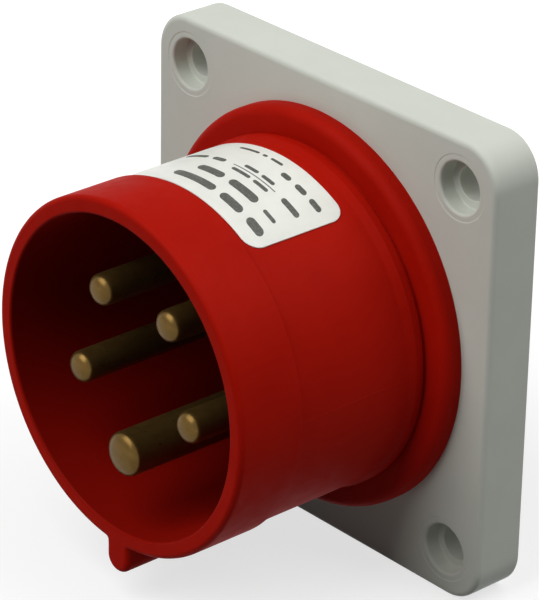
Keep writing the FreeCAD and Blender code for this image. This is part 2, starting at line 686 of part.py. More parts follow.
def collar_seal(document):
    """Flat seal under the collar, with holes for the pillars."""
    body = new_body(document, "collar_seal", turn=DIAGONAL_ANGLE)
    outline = sketch_on(body, "outline", lift="Places.CollarSealBed")
    add_circle(outline, "2 * Places.CollarSealOuterRadius")
    add_circle(outline, "2 * Places.BoreRadius")
    pad(body, outline, "ring", "Sizes.CollarSealThickness")
    hole_outline = sketch_on(body, "hole_outline", lift="Sizes.FlangeThickness")
    add_circle(hole_outline, "Sizes.PillarDiameter + 2 * Sizes.PillarClearance",
               "Places.PillarCircleRadius", ON_AXIS)
    hole = pocket(body, hole_outline, "hole", "Sizes.CollarSealThickness")
    repeat(body, [hole], "holes", CORNER_COUNT)
    return body


def panel_gasket(document):
    """Frame gasket in the back of the flange, flush with the rim."""
    body = new_body(document, "panel_gasket")
    outline = sketch_on(body, "outline")
    add_rounded_square(outline, "Places.GasketHalfSide - Sizes.GasketClearance",
                       "Sizes.FlangeCornerRadius - Sizes.FlangeRimWidth - Sizes.GasketClearance")
    pad(body, outline, "frame", "Sizes.GasketThickness")
    window = sketch_on(body, "window_outline")
    add_circle(window, "2 * Places.RingRadius + 2 * Sizes.GasketClearance")
    pocket(body, window, "window", "Sizes.GasketThickness", forwards=True)
    hole_outline = sketch_on(body, "hole_outline")
    add_circle(hole_outline, "Sizes.PostDiameter + 2 * Sizes.GasketClearance", *CORNERS[0])
    hole = pocket(body, hole_outline, "hole", "Sizes.GasketThickness", forwards=True)
    repeat(body, [hole], "holes", CORNER_COUNT)
    return body


def carrier_seal(document):
    """Flat ring between the ledge in the shroud and the contact plate."""
    body = new_body(document, "carrier_seal")
    outline = sketch_on(body, "outline", lift="Places.PlateShoulder")
    add_circle(outline, "2 * (Places.CarrierRadius - Sizes.PolarisingRibHeight)")
    add_circle(outline, "2 * Places.LedgeRadius - 2 * Sizes.CarrierClearance")
    pad(body, outline, "ring", "Sizes.CarrierSealThickness")
    return body


def contact_plate(document):
    """Front insulator: stepped disc with five collared pin holes and the screw's counterbore."""
    body = new_body(document, "contact_plate", turn=EARTH_ANGLE)
    disc = sketch_on(body, "disc_outline", lift="Places.PlateRear")
    add_circle(disc, "2 * Places.CarrierRadius")
    pad(body, disc, "disc", "Places.PlateShoulder - Places.PlateRear")
    raised = sketch_on(body, "raised_outline", lift="Places.PlateShoulder")
    add_circle(raised, "2 * (Places.PlateRadius - Sizes.CarrierClearance)")
    pad(body, raised, "raised_floor", "Places.PlateFace - Places.PlateShoulder")

    collar_outline = sketch_on(body, "pin_collar_outline", lift="Places.PlateFace")
    add_circle(collar_outline, "Sizes.EarthPinDiameter + 2 * Sizes.PinShoulder + 2 * Sizes.PinCollarWall",
               "Places.PinCircleRadius", ON_AXIS)
    collar = pad(body, collar_outline, "pin_collar", "Sizes.PinCollarHeight")
    repeat(body, [collar], "pin_collars", POLE_COUNT)
    hole_outline = sketch_on(body, "pin_hole_outline", lift="Places.PlateRear")
    add_circle(hole_outline, "Sizes.PhasePinDiameter + 2 * Sizes.PinShoulder + 2 * Sizes.PinClearance",
               "Places.PinCircleRadius", ON_AXIS)
    through = "Places.PinCollarTop - Places.PlateRear"
    hole = pocket(body, hole_outline, "pin_hole", through, forwards=True)
    repeat(body, [hole], "pin_holes", POLE_COUNT)
    earth_outline = sketch_on(body, "earth_hole_outline", lift="Places.PlateRear")
    add_circle(earth_outline, "Sizes.EarthPinDiameter + 2 * Sizes.PinShoulder + 2 * Sizes.PinClearance",
               "Places.PinCircleRadius", ON_AXIS)
    pocket(body, earth_outline, "earth_hole", through, forwards=True)

    seat = sketch_on(body, "counterbore_outline", lift="Places.PlateFace")
    add_circle(seat, "Sizes.BlockWasherDiameter + 2 * Sizes.BlockCounterboreClearance")
    pocket(body, seat, "counterbore", "Sizes.BlockCounterboreDepth")
    way = sketch_on(body, "screw_hole_outline", lift="Places.PlateRear")
    add_circle(way, "Sizes.BlockScrewDiameter + 2 * Sizes.ThroughClearance")
    pocket(body, way, "screw_hole", "Sizes.ContactPlateThickness", forwards=True)
    add_polarising_notch(body, "Places.PlateRear", "Sizes.ContactPlateThickness")
    return body


def add_polarising_notch(body, rear, length):
    """Notch for the rib of the shroud, open at the edge of a disc."""
    notch_outline = sketch_on(body, "notch_outline", lift=rear)
    half = "(Sizes.PolarisingRibWidth / 2 + Sizes.PolarisingClearance)"
    depth = "Places.ShroudInnerRadius - Sizes.PolarisingRibHeight - Sizes.PolarisingClearance"
    add_rectangle(notch_outline, depth, "Places.ShroudInnerRadius", f"-{half}", half)
    pocket(body, notch_outline, "notch", length, forwards=True)


def terminal_block(document, sizes, places):
    """Rear insulator: rim, five terminal towers, barriers between them and the screw hub."""
    body = new_body(document, "terminal_block", turn=EARTH_ANGLE)
    rim = sketch_on(body, "rim_outline", lift="Places.BlockRimRear")
    add_circle(rim, "2 * Places.CarrierRadius")
    pad(body, rim, "rim", "Places.BlockRimThickness")
    hub = sketch_on(body, "hub_outline", lift="Places.HubRear")
    add_circle(hub, "Sizes.BlockHubDiameter")
    pad(body, hub, "hub", "Sizes.BlockHubLength")

    tower_outline = sketch_on(body, "tower_outline", lift="Places.TowerRear")
    add_circle(tower_outline, "Sizes.TowerDiameter", "Places.PinCircleRadius", ON_AXIS)
    tower = pad(body, tower_outline, "tower", "Places.BlockRimRear - Places.TowerRear")
    towers = repeat(body, [tower], "towers", POLE_COUNT)
    chamfer(body, towers, "tower_edges", "Sizes.TowerEdgeChamfer",
            lambda edge: is_round(edge, sizes.TowerDiameter / 2, places.TowerRear))
    add_barriers(body)
    add_terminal_cuts(body, sizes, places)
    add_centre_cuts(body)
    add_polarising_notch(body, "Places.BlockRimRear", "Places.BlockRimThickness")
    return body


def add_barriers(body):
    """Thin walls that stand between neighbouring towers."""
    half_step = HALF_TURN / POLE_COUNT
    barrier_outline = sketch_on(body, "barrier_outline", lift="Places.TowerRear")
    along = f"cos({half_step})"
    across = f"sin({half_step})"
    half = "(Sizes.BarrierThickness / 2)"
    near = "(Sizes.BlockHubDiameter / 2 - Sizes.BarrierThickness)"
    far = "Places.BarrierReach"
    corners = []
    for reach, side in ((near, "-"), (far, "-"), (far, "+"), (near, "+")):
        opposite = "+" if side == "-" else "-"
        x = f"{reach} * {along} {opposite} {half} * {across}"
        y = f"{reach} * {across} {side} {half} * {along}"
        corners.append((x, y))
    add_polygon(barrier_outline, corners)
    barrier = pad(body, barrier_outline, "barrier", "Places.BlockRimRear - Places.TowerRear")
    repeat(body, [barrier], "barriers", POLE_COUNT)


def add_terminal_cuts(body, sizes, places):
    """Pocket for each terminal barrel, its wire entry and the way in for its screw."""
    barrel_outline = sketch_on(body, "barrel_pocket_outline", lift="Places.PlateRear")
    add_circle(barrel_outline, "Sizes.BarrelDiameter + 2 * Sizes.BarrelClearance",
               "Places.PinCircleRadius", ON_AXIS)
    barrel = pocket(body, barrel_outline, "barrel_pocket", "Places.PlateRear - Places.PocketRear")
    entry_outline = sketch_on(body, "wire_entry_outline", lift="Places.TowerRear")
    add_circle(entry_outline, "Sizes.WireEntryDiameter", "Places.PinCircleRadius", ON_AXIS)
    entry = pocket(body, entry_outline, "wire_entry", "Sizes.TowerFloor", forwards=True)
    access_outline = sketch_on(body, "access_outline", role="YZ_Plane",
                               lift="Places.PinCircleRadius + Sizes.TowerDiameter / 2")
    add_circle(access_outline, "Sizes.ScrewAccessDiameter", ON_AXIS, "Places.TerminalScrewHeight")
    access = pocket(body, access_outline, "screw_access", "Sizes.TowerDiameter / 2")
    cuts = repeat(body, [barrel, entry, access], "terminal_cuts", POLE_COUNT)
    chamfer(body, cuts, "wire_funnels", "Sizes.WireFunnel",
            lambda edge: is_round(edge, sizes.WireEntryDiameter / 2, places.TowerRear))


def add_centre_cuts(body):
    """Hole of the centre screw and the six-sided pocket of its nut."""
    way = sketch_on(body, "screw_hole_outline", lift="Places.HubRear")
    add_circle(way, "Sizes.BlockScrewDiameter + 2 * Sizes.ThroughClearance")
    pocket(body, way, "screw_hole", "Places.BlockRimThickness + Sizes.BlockHubLength", forwards=True)
    nut_outline = sketch_on(body, "nut_pocket_outline", lift="Places.HubRear")
    add_hexagon(nut_outline, "Places.NutPocketFlats")
    pocket(body, nut_outline, "nut_pocket", "Places.NutSeat - Places.HubRear", forwards=True)


def add_hexagon(sketch, across_flats):
    """Regular hexagon about the origin, measured across its flats."""
    corners = []
    half_step = HALF_TURN / HEXAGON_SIDES
    reach = f"{across_flats} / 2 / cos({half_step})"
    for step in range(HEXAGON_SIDES):
        turn = half_step * (2 * step + 1)
        x = ON_AXIS if turn % HALF_TURN == QUARTER_TURN else f"{reach} * cos({turn})"
        corners.append((x, f"{reach} * sin({turn})"))
    add_polygon(sketch, corners)


def block_screw(document):
    """Slotted centre screw that clamps contact plate and terminal block."""
    body = new_body(document, "block_screw")
    profile = sketch_on(body, "profile", role="XZ_Plane")
    shank = "Sizes.BlockScrewDiameter / 2"
    head = "Sizes.BlockHeadDiameter / 2"
    add_polygon(profile, [
        (ON_AXIS, "Places.BlockScrewEnd"),
        (shank, "Places.BlockScrewEnd"),
        (shank, "Places.WasherFace"),
        (head, "Places.WasherFace"),
        (head, "Places.BlockHeadTop"),
        (ON_AXIS, "Places.BlockHeadTop"),
    ])
    revolve(body, profile, "turned")
    slot_outline = sketch_on(body, "slot_outline", lift="Places.BlockHeadTop")
    half = "Sizes.SlotWidth / 2"
    add_rectangle(slot_outline, f"-{head}", head, f"-{half}", half)
    pocket(body, slot_outline, "slot", "Sizes.SlotDepth")
    return body


def block_washer(document):
    """Washer under the head of the centre screw."""
    body = new_body(document, "block_washer")
    outline = sketch_on(body, "outline", lift="Places.PlateSeat")
    add_circle(outline, "Sizes.BlockWasherDiameter")
    add_circle(outline, "Sizes.BlockScrewDiameter + 2 * Sizes.ThroughClearance")
    pad(body, outline, "ring", "Sizes.BlockWasherThickness")
    return body


def block_nut(document):
    """Hexagon nut of the centre screw in its pocket."""
    body = new_body(document, "block_nut", turn=EARTH_ANGLE)
    outline = sketch_on(body, "outline", lift="Places.NutSeat - Sizes.NutHeight")
    add_hexagon(outline, "Sizes.NutAcrossFlats")
    add_circle(outline, "Sizes.BlockScrewDiameter + 2 * Sizes.ScrewClearance")
    pad(body, outline, "nut", "Sizes.NutHeight")
    return body


def contact_pin(document, sizes, places, name, angle, kind):
    """Turned pin with a shoulder, its terminal barrel, wire bore and tapped hole for the clamping screw."""
    body = new_body(document, name, turn=angle)
    body.setExpression("Placement.Base.x", f"Places.PinCircleRadius * cos({angle})")
    body.setExpression("Placement.Base.z", f"Places.PinCircleRadius * sin({angle})")
    radius = f"Sizes.{kind}PinDiameter / 2"
    root = f"{radius} + Sizes.PinShoulder"
    tip = f"Places.{kind}TipDistance"
    barrel = "Sizes.BarrelDiameter / 2"
    bore = "Sizes.WireBoreDiameter / 2"
    bore_end = "Places.BarrelRear + Sizes.WireBoreDepth"
    profile = sketch_on(body, "profile", role="XZ_Plane")
    add_polygon(profile, [
        (ON_AXIS, tip),
        (radius, tip),
        (radius, "Places.PinShoulderTop + Sizes.PinShoulder"),
        (root, "Places.PinShoulderTop"),
        (root, "Places.PlateRear"),
        (barrel, "Places.PlateRear"),
        (barrel, "Places.BarrelRear"),
        (bore, "Places.BarrelRear"),
        (bore, bore_end),
        (ON_AXIS, bore_end),
    ])
    turned = revolve(body, profile, "turned")
    tip_radius = getattr(sizes, f"{kind}PinDiameter") / 2
    tip_height = getattr(places, f"{kind}TipDistance")
    fillet(body, turned, "tip", "Sizes.PinTipRadius", lambda edge: is_round(edge, tip_radius, tip_height))
    tapped = sketch_on(body, "tapped_outline", role="YZ_Plane", lift=barrel)
    add_circle(tapped, "Sizes.TerminalScrewDiameter + 2 * Sizes.ScrewClearance",
               ON_AXIS, "Places.TerminalScrewHeight")
    pocket(body, tapped, "tapped_hole", barrel)
    return body


def terminal_screws(document):
    """Five slotted clamping screws, one pointing inwards into each terminal barrel."""
    body = new_body(document, "terminal_screws", turn=EARTH_ANGLE)
    profile = sketch_on(body, "profile", role="XZ_Plane", lift="Places.TerminalScrewHeight", along="y")
    shank = "Sizes.TerminalScrewDiameter / 2"
    head = "Sizes.TerminalHeadDiameter / 2"
    add_polygon(profile, [
        ("Places.TerminalScrewTip", ON_AXIS),
        ("Places.TerminalHeadTop", ON_AXIS),
        ("Places.TerminalHeadTop", head),
        ("Places.TerminalHeadSeat", head),
        ("Places.TerminalHeadSeat", shank),
        ("Places.TerminalScrewTip", shank),
    ])
    screw = revolve(body, profile, "turned", axis="H_Axis")
    slot_outline = sketch_on(body, "slot_outline", role="YZ_Plane", lift="Places.TerminalHeadTop")
    half = "Sizes.SlotWidth / 2"
    add_rectangle(slot_outline, f"-{half}", half, f"Places.TerminalScrewHeight - {head}",
                  f"Places.TerminalScrewHeight + {head}")
    slot = pocket(body, slot_outline, "slot", "Sizes.SlotDepth")
    repeat(body, [screw, slot], "screws", POLE_COUNT)
    return body


def rating_label(document, sizes):
    """Thin curved label with rounded corners, glued in the recess of the barrel."""
    body = new_body(document, "rating_label", turn=sizes.LabelTurnDegrees)
    profile = sketch_on(body, "profile", role="XZ_Plane")
    add_rectangle(profile, "Places.LabelInnerRadius", "Places.LabelOuterRadius",
                  "Places.LabelRear", "Places.LabelFront")
    sheet = body.newObject("PartDesign::Revolution", "rating_label_sheet")
    sheet.Profile = profile
    sheet.ReferenceAxis = (profile, ["V_Axis"])
    sheet.Midplane = True
    sheet.setExpression("Angle", "Sizes.LabelWidthDegrees")
    finish(body, sheet)

    def crosses_sheet(edge):
        """True for the four short edges through the label's thickness."""
        return edge.Length < sizes.LabelThickness * 2

    fillet(body, sheet, "corners", "Sizes.LabelCornerRadius", crosses_sheet)
    return body


def check_document(document):
    """Stops if any feature failed to compute."""
    failed = [item.Name for item in document.Objects if {"Invalid", "Error"} & set(item.State)]
    if failed:
        raise RuntimeError(f"failed features: {failed}")


def check_shape(part):
    """Stops if a sub-part has no shape or a faulty one."""
    if part.Shape.isNull() or not part.Shape.isValid() or not part.Shape.Solids:
        raise RuntimeError(f"{part.Label} has no valid shape")


def build():
    """Builds the document and returns its sub-parts."""
    document = FreeCAD.newDocument("panel_inlet")
    sizes = new_sheet(document)
    places = new_places(document)
    parts = [
        mounting_flange(document, sizes),
        shroud_housing(document, sizes, places),
        retaining_ring(document),
        retaining_screws(document),
        retaining_washers(document),
        collar_seal(document),
        panel_gasket(document),
        carrier_seal(document),
        contact_plate(document),
        terminal_block(document, sizes, places),
        block_screw(document),
        block_washer(document),
        block_nut(document),
        terminal_screws(document),
        rating_label(document, sizes),
    ]
    for step, name in enumerate(PIN_NAMES):
        kind = "Earth" if name == "earth_pin" else "Phase"
        angle = EARTH_ANGLE + step * FULL_TURN / POLE_COUNT
        parts.append(contact_pin(document, sizes, places, name, angle, kind))
    document.recompute()
    return document, parts


def main():
    """Builds, checks and writes every sub-part."""
    document, parts = build()
    check_document(document)
    for part in parts:
        check_shape(part)
    os.makedirs(PARTS_FOLDER, exist_ok=True)
    for part in parts:
        part.Shape.exportStep(os.path.join(PARTS_FOLDER, f"{part.Label}.step"))
        box = part.Shape.BoundBox
        print(f"{part.Label}: {len(part.Shape.Solids)} solid, {part.Shape.Volume:.1f} mm3, "
              f"y {box.YMin:.2f} to {box.YMax:.2f}")


main()
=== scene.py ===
"""Dressed model of a five-pole industrial panel inlet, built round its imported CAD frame.

The barrel points along -Y, +Z is up and the panel face lies at Y = 0. Sizes in the classes are in
millimetres and meshes are in metres. "Distance" means distance in front of the panel face.
"""

import logging
from dataclasses import dataclass, field
from enum import Enum

import bmesh
import bpy
import numpy as np
from mathutils import Matrix, Vector
from mathutils.geometry import tessellate_polygon


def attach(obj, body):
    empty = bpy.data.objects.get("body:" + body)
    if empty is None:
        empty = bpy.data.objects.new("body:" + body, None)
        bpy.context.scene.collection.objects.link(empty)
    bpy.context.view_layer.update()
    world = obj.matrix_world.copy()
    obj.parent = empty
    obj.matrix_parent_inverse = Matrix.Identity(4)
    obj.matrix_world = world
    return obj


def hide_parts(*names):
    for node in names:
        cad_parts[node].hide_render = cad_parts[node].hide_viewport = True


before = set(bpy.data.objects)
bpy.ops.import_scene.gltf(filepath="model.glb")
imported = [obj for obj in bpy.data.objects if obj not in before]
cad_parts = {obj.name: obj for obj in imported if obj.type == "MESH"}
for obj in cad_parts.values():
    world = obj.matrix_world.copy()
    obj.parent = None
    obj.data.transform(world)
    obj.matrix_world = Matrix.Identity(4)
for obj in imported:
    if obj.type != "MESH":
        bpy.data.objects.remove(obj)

LOG = logging.getLogger("panel_inlet")
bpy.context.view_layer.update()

MM = 0.001
BODY = "root"
WELD = 2e-7
QUARTER = np.pi / 2
WHITE = (1.0, 1.0, 1.0)

Pair = tuple[float, float]
Triple = tuple[float, float, float]
Array = np.ndarray
Socket = bpy.types.NodeSocket
Inputs = dict[str | int, object]
Mesh = bpy.types.Mesh


class Slot(Enum):
    """Material slots of the record."""

    GREY = "grey_plastic"
    RED = "red_plastic"
    INSULATOR = "insulator_plastic"
    BRASS = "pin_brass"
    STEEL = "zinc_steel"
    RUBBER = "black_rubber"
    LABEL = "label_film"


@dataclass(frozen=True)
class Pattern:
    """Noise in object space.

    Attributes:
        scale: Repeats in a metre.
        detail: Number of finer layers.
        roughness: Weight of the finer layers.
        squeeze: Factors on the coordinates. A small one makes the noise nearly even along that axis.
    """

    scale: float
    detail: float = 2.0
    roughness: float = 0.5
    squeeze: Triple | None = None


class NodeTree:
    """Shader nodes of a material or a world, added and joined by name."""

    def __init__(self, owner: bpy.types.Material | bpy.types.World) -> None:
        """Starts with an empty tree.

        Args:
            owner: The material or world that the nodes belong to.
        """
        self.owner = owner
        owner.use_nodes = True
        self.nodes = owner.node_tree.nodes
        self.links = owner.node_tree.links
        self.nodes.clear()

    def feed(self, node: bpy.types.Node, inputs: Inputs) -> None:
        """Sets or joins inputs of a node.

        Args:
            node: The node.
            inputs: For each input's name or number a constant, or an output of another node. An input
                with None stays as it is, and a colour may leave its alpha out.
        """
        for key, value in inputs.items():
            socket = node.inputs[key]
            if isinstance(value, Socket):
                self.links.new(value, socket)
            elif value is not None:
                socket.default_value = (*value, 1.0)[:4] if socket.type == "RGBA" else value

    def add(self, kind: str, inputs: Inputs | None = None, **settings: object) -> bpy.types.Node:
        """Adds a node.

        Args:
            kind: Blender's identifier of the node, without ShaderNode before it.
            inputs: Constants or outputs for its inputs.
            **settings: Properties set on the node.

        Returns:
            The node.
        """
        node = self.nodes.new("ShaderNode" + kind)
        for key, value in settings.items():
            setattr(node, key, value)
        self.feed(node, inputs or {})
        return node

    def shown(self) -> Socket:
        """Tells the rays that show a surface from those that only light others.

        Returns:
            1 for rays from the camera, mirrors or glass, and 0 for the rest.
        """
        path = self.add("LightPath").outputs
        seen = path["Is Camera Ray"]
        for name in ("Is Glossy Ray", "Is Transmission Ray"):
            seen = self.add("Math", {0: seen, 1: path[name]}, operation="MAXIMUM").outputs[0]
        return seen


class Shading(NodeTree):
    """Nodes of one material round a Principled shader."""

    def __init__(self, name: str) -> None:
        """Starts a material.

        Args:
            name: Name of the material.
        """
        super().__init__(bpy.data.materials.new(name))
        self.shader = self.add("BsdfPrincipled")
        self.add("OutputMaterial", {"Surface": self.shader.outputs["BSDF"]})
        self.place = self.add("TexCoord").outputs["Object"]

    def noise(self, pattern: Pattern) -> Socket:
        """Adds a noise.

        Args:
            pattern: Its scale and layers.

        Returns:
            Its value, from 0 to 1.
        """
        place = self.place
        if pattern.squeeze is not None:
            place = self.add("Mapping", {"Scale": pattern.squeeze, "Vector": place}).outputs["Vector"]
        return self.add("TexNoise", {"Scale": pattern.scale, "Detail": pattern.detail, "Vector": place,
                                     "Roughness": pattern.roughness}).outputs["Fac"]

    def spread(self, value: Socket, low: float, high: float, start: float = 0.3, end: float = 0.7) -> Socket:
        """Maps a value between start and end onto low to high, and holds it inside them."""
        return self.add("MapRange", {"Value": value, "From Min": start, "From Max": end,
                                     "To Min": low, "To Max": high}).outputs["Result"]

    def blend(self, factor: Socket, first: Triple | Socket, second: Triple | Socket) -> Socket:
        """Mixes two linear colours, given as values or as outputs, by the second's share."""
        return self.add("Mix", {0: factor, 6: first, 7: second}, data_type="RGBA").outputs[2]

    def off_axis(self) -> Socket:
        """Distance from the barrel's axis: the length of the place with its Y made nothing."""
        flat = self.add("VectorMath", {0: self.place, 1: (1.0, 0.0, 1.0)}, operation="MULTIPLY")
        return self.add("VectorMath", {0: flat.outputs["Vector"]}, operation="LENGTH").outputs["Value"]

    def bump(self, height: Socket, depth: float, share: float, under: Socket | None) -> Socket:
        """Normal bumped by heights from 0 to 1 of a depth in metres, on top of the normal under it."""
        return self.add("Bump", {"Strength": share, "Distance": depth, "Height": height,
                                 "Normal": under}).outputs["Normal"]


@dataclass(frozen=True)
class Finish:
    """Two tones mixed by a noise, with uneven gloss, layers of fine relief and, where given, painted shade
    within the barrel.

    Attributes:
        name: Name of the material.
        slot: The record's slot that it stands for; not used.
        tones: The two colours.
        cover: Noise that mixes the tones.
        gloss: Least and most roughness.
        sheen: Noise that the roughness follows.
        relief: Noise, depth in metres and share of the effect of each layer, the broadest first.
        span: Values of the cover's noise where the first tone ends and the second starts.
        metal: Share of the surface that is bare metal.
        specular: Strength of the gloss, 0.5 for common plastic.
        inside: Darker tone within the barrel, painted shade of its hollow, where given.
        inside_shade_radius: Distances from the barrel's axis between which the painted shade of the inside
            ends.
    """

    name: str
    slot: Slot
    tones: tuple[Triple, Triple]
    cover: Pattern
    gloss: Pair
    sheen: Pattern
    relief: tuple[tuple[Pattern, float, float], ...] = ()
    span: Pair = (0.3, 0.7)
    metal: float = 0.0
    specular: float = 0.5
    inside: Triple | None = None
    inside_shade_radius: Pair = (0.0252, 0.0258)

    def make(self) -> bpy.types.Material:
        """Builds the material.

        Returns:
            The material.
        """
        tree = Shading(self.name)
        colour = tree.blend(tree.spread(tree.noise(self.cover), 0.0, 1.0, *self.span), *self.tones)
        # Painted shade: near the axis, within the barrel, the colour turns to the darker inside tone.
        if self.inside is not None:
            share = tree.spread(tree.off_axis(), 0.0, 1.0, *self.inside_shade_radius)
            colour = tree.blend(share, self.inside, colour)
        normal = None
        for pattern, depth, share in self.relief:
            normal = tree.bump(tree.noise(pattern), depth, share, normal)
        tree.feed(tree.shader, {
            "Base Color": colour,
            "Roughness": tree.spread(tree.noise(self.sheen), *self.gloss),
            "Normal": normal,
            "Metallic": self.metal,
            "Specular IOR Level": self.specular,
        })
        return tree.owner


def moulded(slot: Slot, grain: float, **settings: object) -> Finish:
    """Satin moulded plastic with flow marks, a shallow waviness and a grain of the given depth, in metres."""
    relief = ((Pattern(150.0, 1.0), 4.0e-5, 0.35), (Pattern(5200.0), grain, 0.6))
    return Finish(slot.value, slot, cover=Pattern(90.0, 4.0, 0.6), sheen=Pattern(420.0, 3.0),
                  relief=relief, **settings)


GREY_PLASTIC = moulded(
    Slot.GREY, 1.1e-5, tones=((0.588, 0.614, 0.547), (0.618, 0.644, 0.577)), gloss=(0.34, 0.44),
    specular=0.12)
# The red's inside tone is painted shade, darkening the hollow of the barrel.
RED_PLASTIC = moulded(
    Slot.RED, 8.0e-6, tones=((0.36, 0.0055, 0.0012), (0.40, 0.0070, 0.0018)), gloss=(0.52, 0.62),
    specular=0.04, inside=(0.20, 0.0035, 0.0009))
INSULATOR_PLASTIC = moulded(
    Slot.INSULATOR, 1.4e-5, tones=((0.022, 0.021, 0.021), (0.030, 0.029, 0.028)), gloss=(0.42, 0.56))
# Turned brass has rings from the tool along the pin, dull patches and small dents. The tarnish on it
# scatters light, so that it is not metal alone.
TURNED_BRASS = Finish(
    "turned_brass", Slot.BRASS, tones=((0.140, 0.083, 0.023), (0.105, 0.060, 0.016)),
    cover=Pattern(520.0, 4.0, 0.55), gloss=(0.27, 0.36), sheen=Pattern(700.0, 3.0),
    relief=((Pattern(5200.0, squeeze=(0.02, 1.0, 0.02)), 6.0e-6, 0.5), (Pattern(2100.0), 8.0e-6, 0.3)),
    span=(0.40, 0.75), metal=0.70, specular=0.1)
# Zinc-plated steel is bright grey, cloudy and slightly uneven.
PLATED_STEEL = Finish(
    "plated_steel", Slot.STEEL, tones=((0.62, 0.63, 0.64), (0.40, 0.40, 0.39)),
    cover=Pattern(600.0, 4.0, 0.6), gloss=(0.24, 0.42), sheen=Pattern(900.0, 3.0),
    relief=((Pattern(4200.0, 3.0), 8.0e-6, 0.5),), metal=1.0)
# Dull black rubber has a dusty bloom and an open grain.
SEAL_RUBBER = Finish(
    "seal_rubber", Slot.RUBBER, tones=((0.018, 0.018, 0.019), (0.045, 0.045, 0.043)),
    cover=Pattern(260.0, 5.0, 0.6), gloss=(0.62, 0.82), sheen=Pattern(800.0),
    relief=((Pattern(2600.0, 4.0), 2.5e-5, 0.6),), specular=0.35)
# Satin film is nearly white, and its adhesive shows as a faint waviness.
LABEL_FILM = Finish(
    "label_film", Slot.LABEL, tones=((0.79, 0.80, 0.74), (0.74, 0.75, 0.69)), cover=Pattern(300.0, 4.0),
    gloss=(0.34, 0.46), sheen=Pattern(700.0), relief=((Pattern(900.0), 1.0e-5, 0.4),))
# Grey-black print covers a little unevenly.
PRINT_INK = Finish(
    "print_ink", Slot.LABEL, tones=((0.045, 0.047, 0.037), (0.11, 0.115, 0.095)),
    cover=Pattern(2400.0, 3.0), gloss=(0.4, 0.55), sheen=Pattern(900.0), span=(0.45, 0.75))


def add_object(name: str, data: bpy.types.ID) -> bpy.types.Object:
    """Adds an object to the scene.

    Args:
        name: Its name.
        data: Its mesh, lamp or camera.

    Returns:
        The object.
    """
    thing = bpy.data.objects.new(name, data)
    bpy.context.scene.collection.objects.link(thing)
    return thing


@dataclass
class Workshop:
    """Makes each finish once and puts the pieces that wear them into the scene."""

    made: dict[str, bpy.types.Material] = field(default_factory=dict)

    def finish(self, mesh: Mesh, finish: Finish) -> None:
        """Gives a mesh a finish, whose material is made at its first use.

        Args:
            mesh: The mesh.
            finish: The finish of all its faces.
        """
        if finish.name not in self.made:
            self.made[finish.name] = finish.make()
        mesh.materials.clear()
        mesh.materials.append(self.made[finish.name])

    def piece(self, name: str, mesh: Mesh, finish: Finish, replaces: tuple[str, ...] = ()) -> None:
        """Puts a mesh into the scene as a dressed piece of the part.

        Args:
            name: Name of the piece.
            mesh: Its mesh, in metres and in place.
            finish: The finish of all its faces.
            replaces: The CAD nodes that it stands for.
        """
        thing = add_object(name, mesh)
        self.finish(mesh, finish)
        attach(thing, BODY)
        if replaces:
            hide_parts(*replaces)
        LOG.info("%s: %d faces", name, len(mesh.polygons))


def rounded_profile(corners: list[Triple], closed: bool, steps: int) -> Array:
    """Rounds the corners of an outline.

    Each corner with a radius becomes an arc that touches both of its lines: the arc's ends lie
    radius * tan(turn / 2) from the corner, its centre lies on the inner side at the radius from both
    lines, and its points follow the centre plus the radius times (cos, sin) of equal steps.

    Args:
        corners: Radius or width, distance, and rounding radius of each corner.
        closed: True where the last corner runs on to the first.
        steps: Number of steps of a quarter turn.

    Returns:
        Points of the rounded outline, in millimetres, one row each.
    """
    points = np.array([corner[:2] for corner in corners], float)
    radii = np.array([corner[2] for corner in corners], float)
    count = len(points)
    rounded = []
    for index in range(count):
        at_end = not closed and index in (0, count - 1)
        if at_end or radii[index] <= 0.0:
            rounded.append(points[index][None])
            continue
        here = points[index]
        back = points[index - 1] - here
        ahead = points[(index + 1) % count] - here
        back /= np.linalg.norm(back)
        ahead /= np.linalg.norm(ahead)
        opening = np.arccos(np.clip(back @ ahead, -1.0, 1.0))
        turn = np.pi - opening
        reach = radii[index] * np.tan(turn / 2)
        middle = back + ahead
        centre = here + middle / np.linalg.norm(middle) * radii[index] / np.sin(opening / 2)
        start = here + back * reach - centre
        side = np.sign(start[1] * back[0] - start[0] * back[1])
        angles = side * np.linspace(0.0, turn, max(2, int(round(steps * turn / QUARTER))) + 1)
        spun = np.stack([start[0] * np.cos(angles) - start[1] * np.sin(angles),
                         start[0] * np.sin(angles) + start[1] * np.cos(angles)], axis=1)
        rounded.append(centre + spun)
    return np.concatenate(rounded)


def outline_of(corners: list[Triple], closed: bool = False, steps: int = 6,
               margin: float = 0.12, longest: float = 3.0) -> Array:
    """Rounds the corners of an outline and adds points near the ends of its long lines and along them.

    The points next to each end keep flat stretches flat under smooth shading. A line longer than
    four margins gets a point at one margin from each end, and equal steps of at most longest between.

    Args:
        corners: Radius or width, distance, and rounding radius of each corner.
        closed: True where the last corner runs on to the first.
        steps: Number of steps of a quarter turn.
        margin: Distance of the added points from a line's ends.
        longest: Longest step between them.

    Returns:
        Points of the outline, in millimetres, one row each.
    """
    profile = rounded_profile(corners, closed, steps)
    count = len(profile)
    last = count if closed else count - 1
    pieces = []
    for index in range(last):
        start = profile[index]
        step = profile[(index + 1) % count] - start
        length = float(np.linalg.norm(step))
        shares = [0.0]
        if length > 4 * margin:
            inner = margin / length
            shares += list(np.linspace(inner, 1 - inner, max(2, int(length / longest) + 2)))
        pieces.append(start + np.array(shares)[:, None] * step)
    if not closed:
        pieces.append(profile[-1:])
    return np.concatenate(pieces)


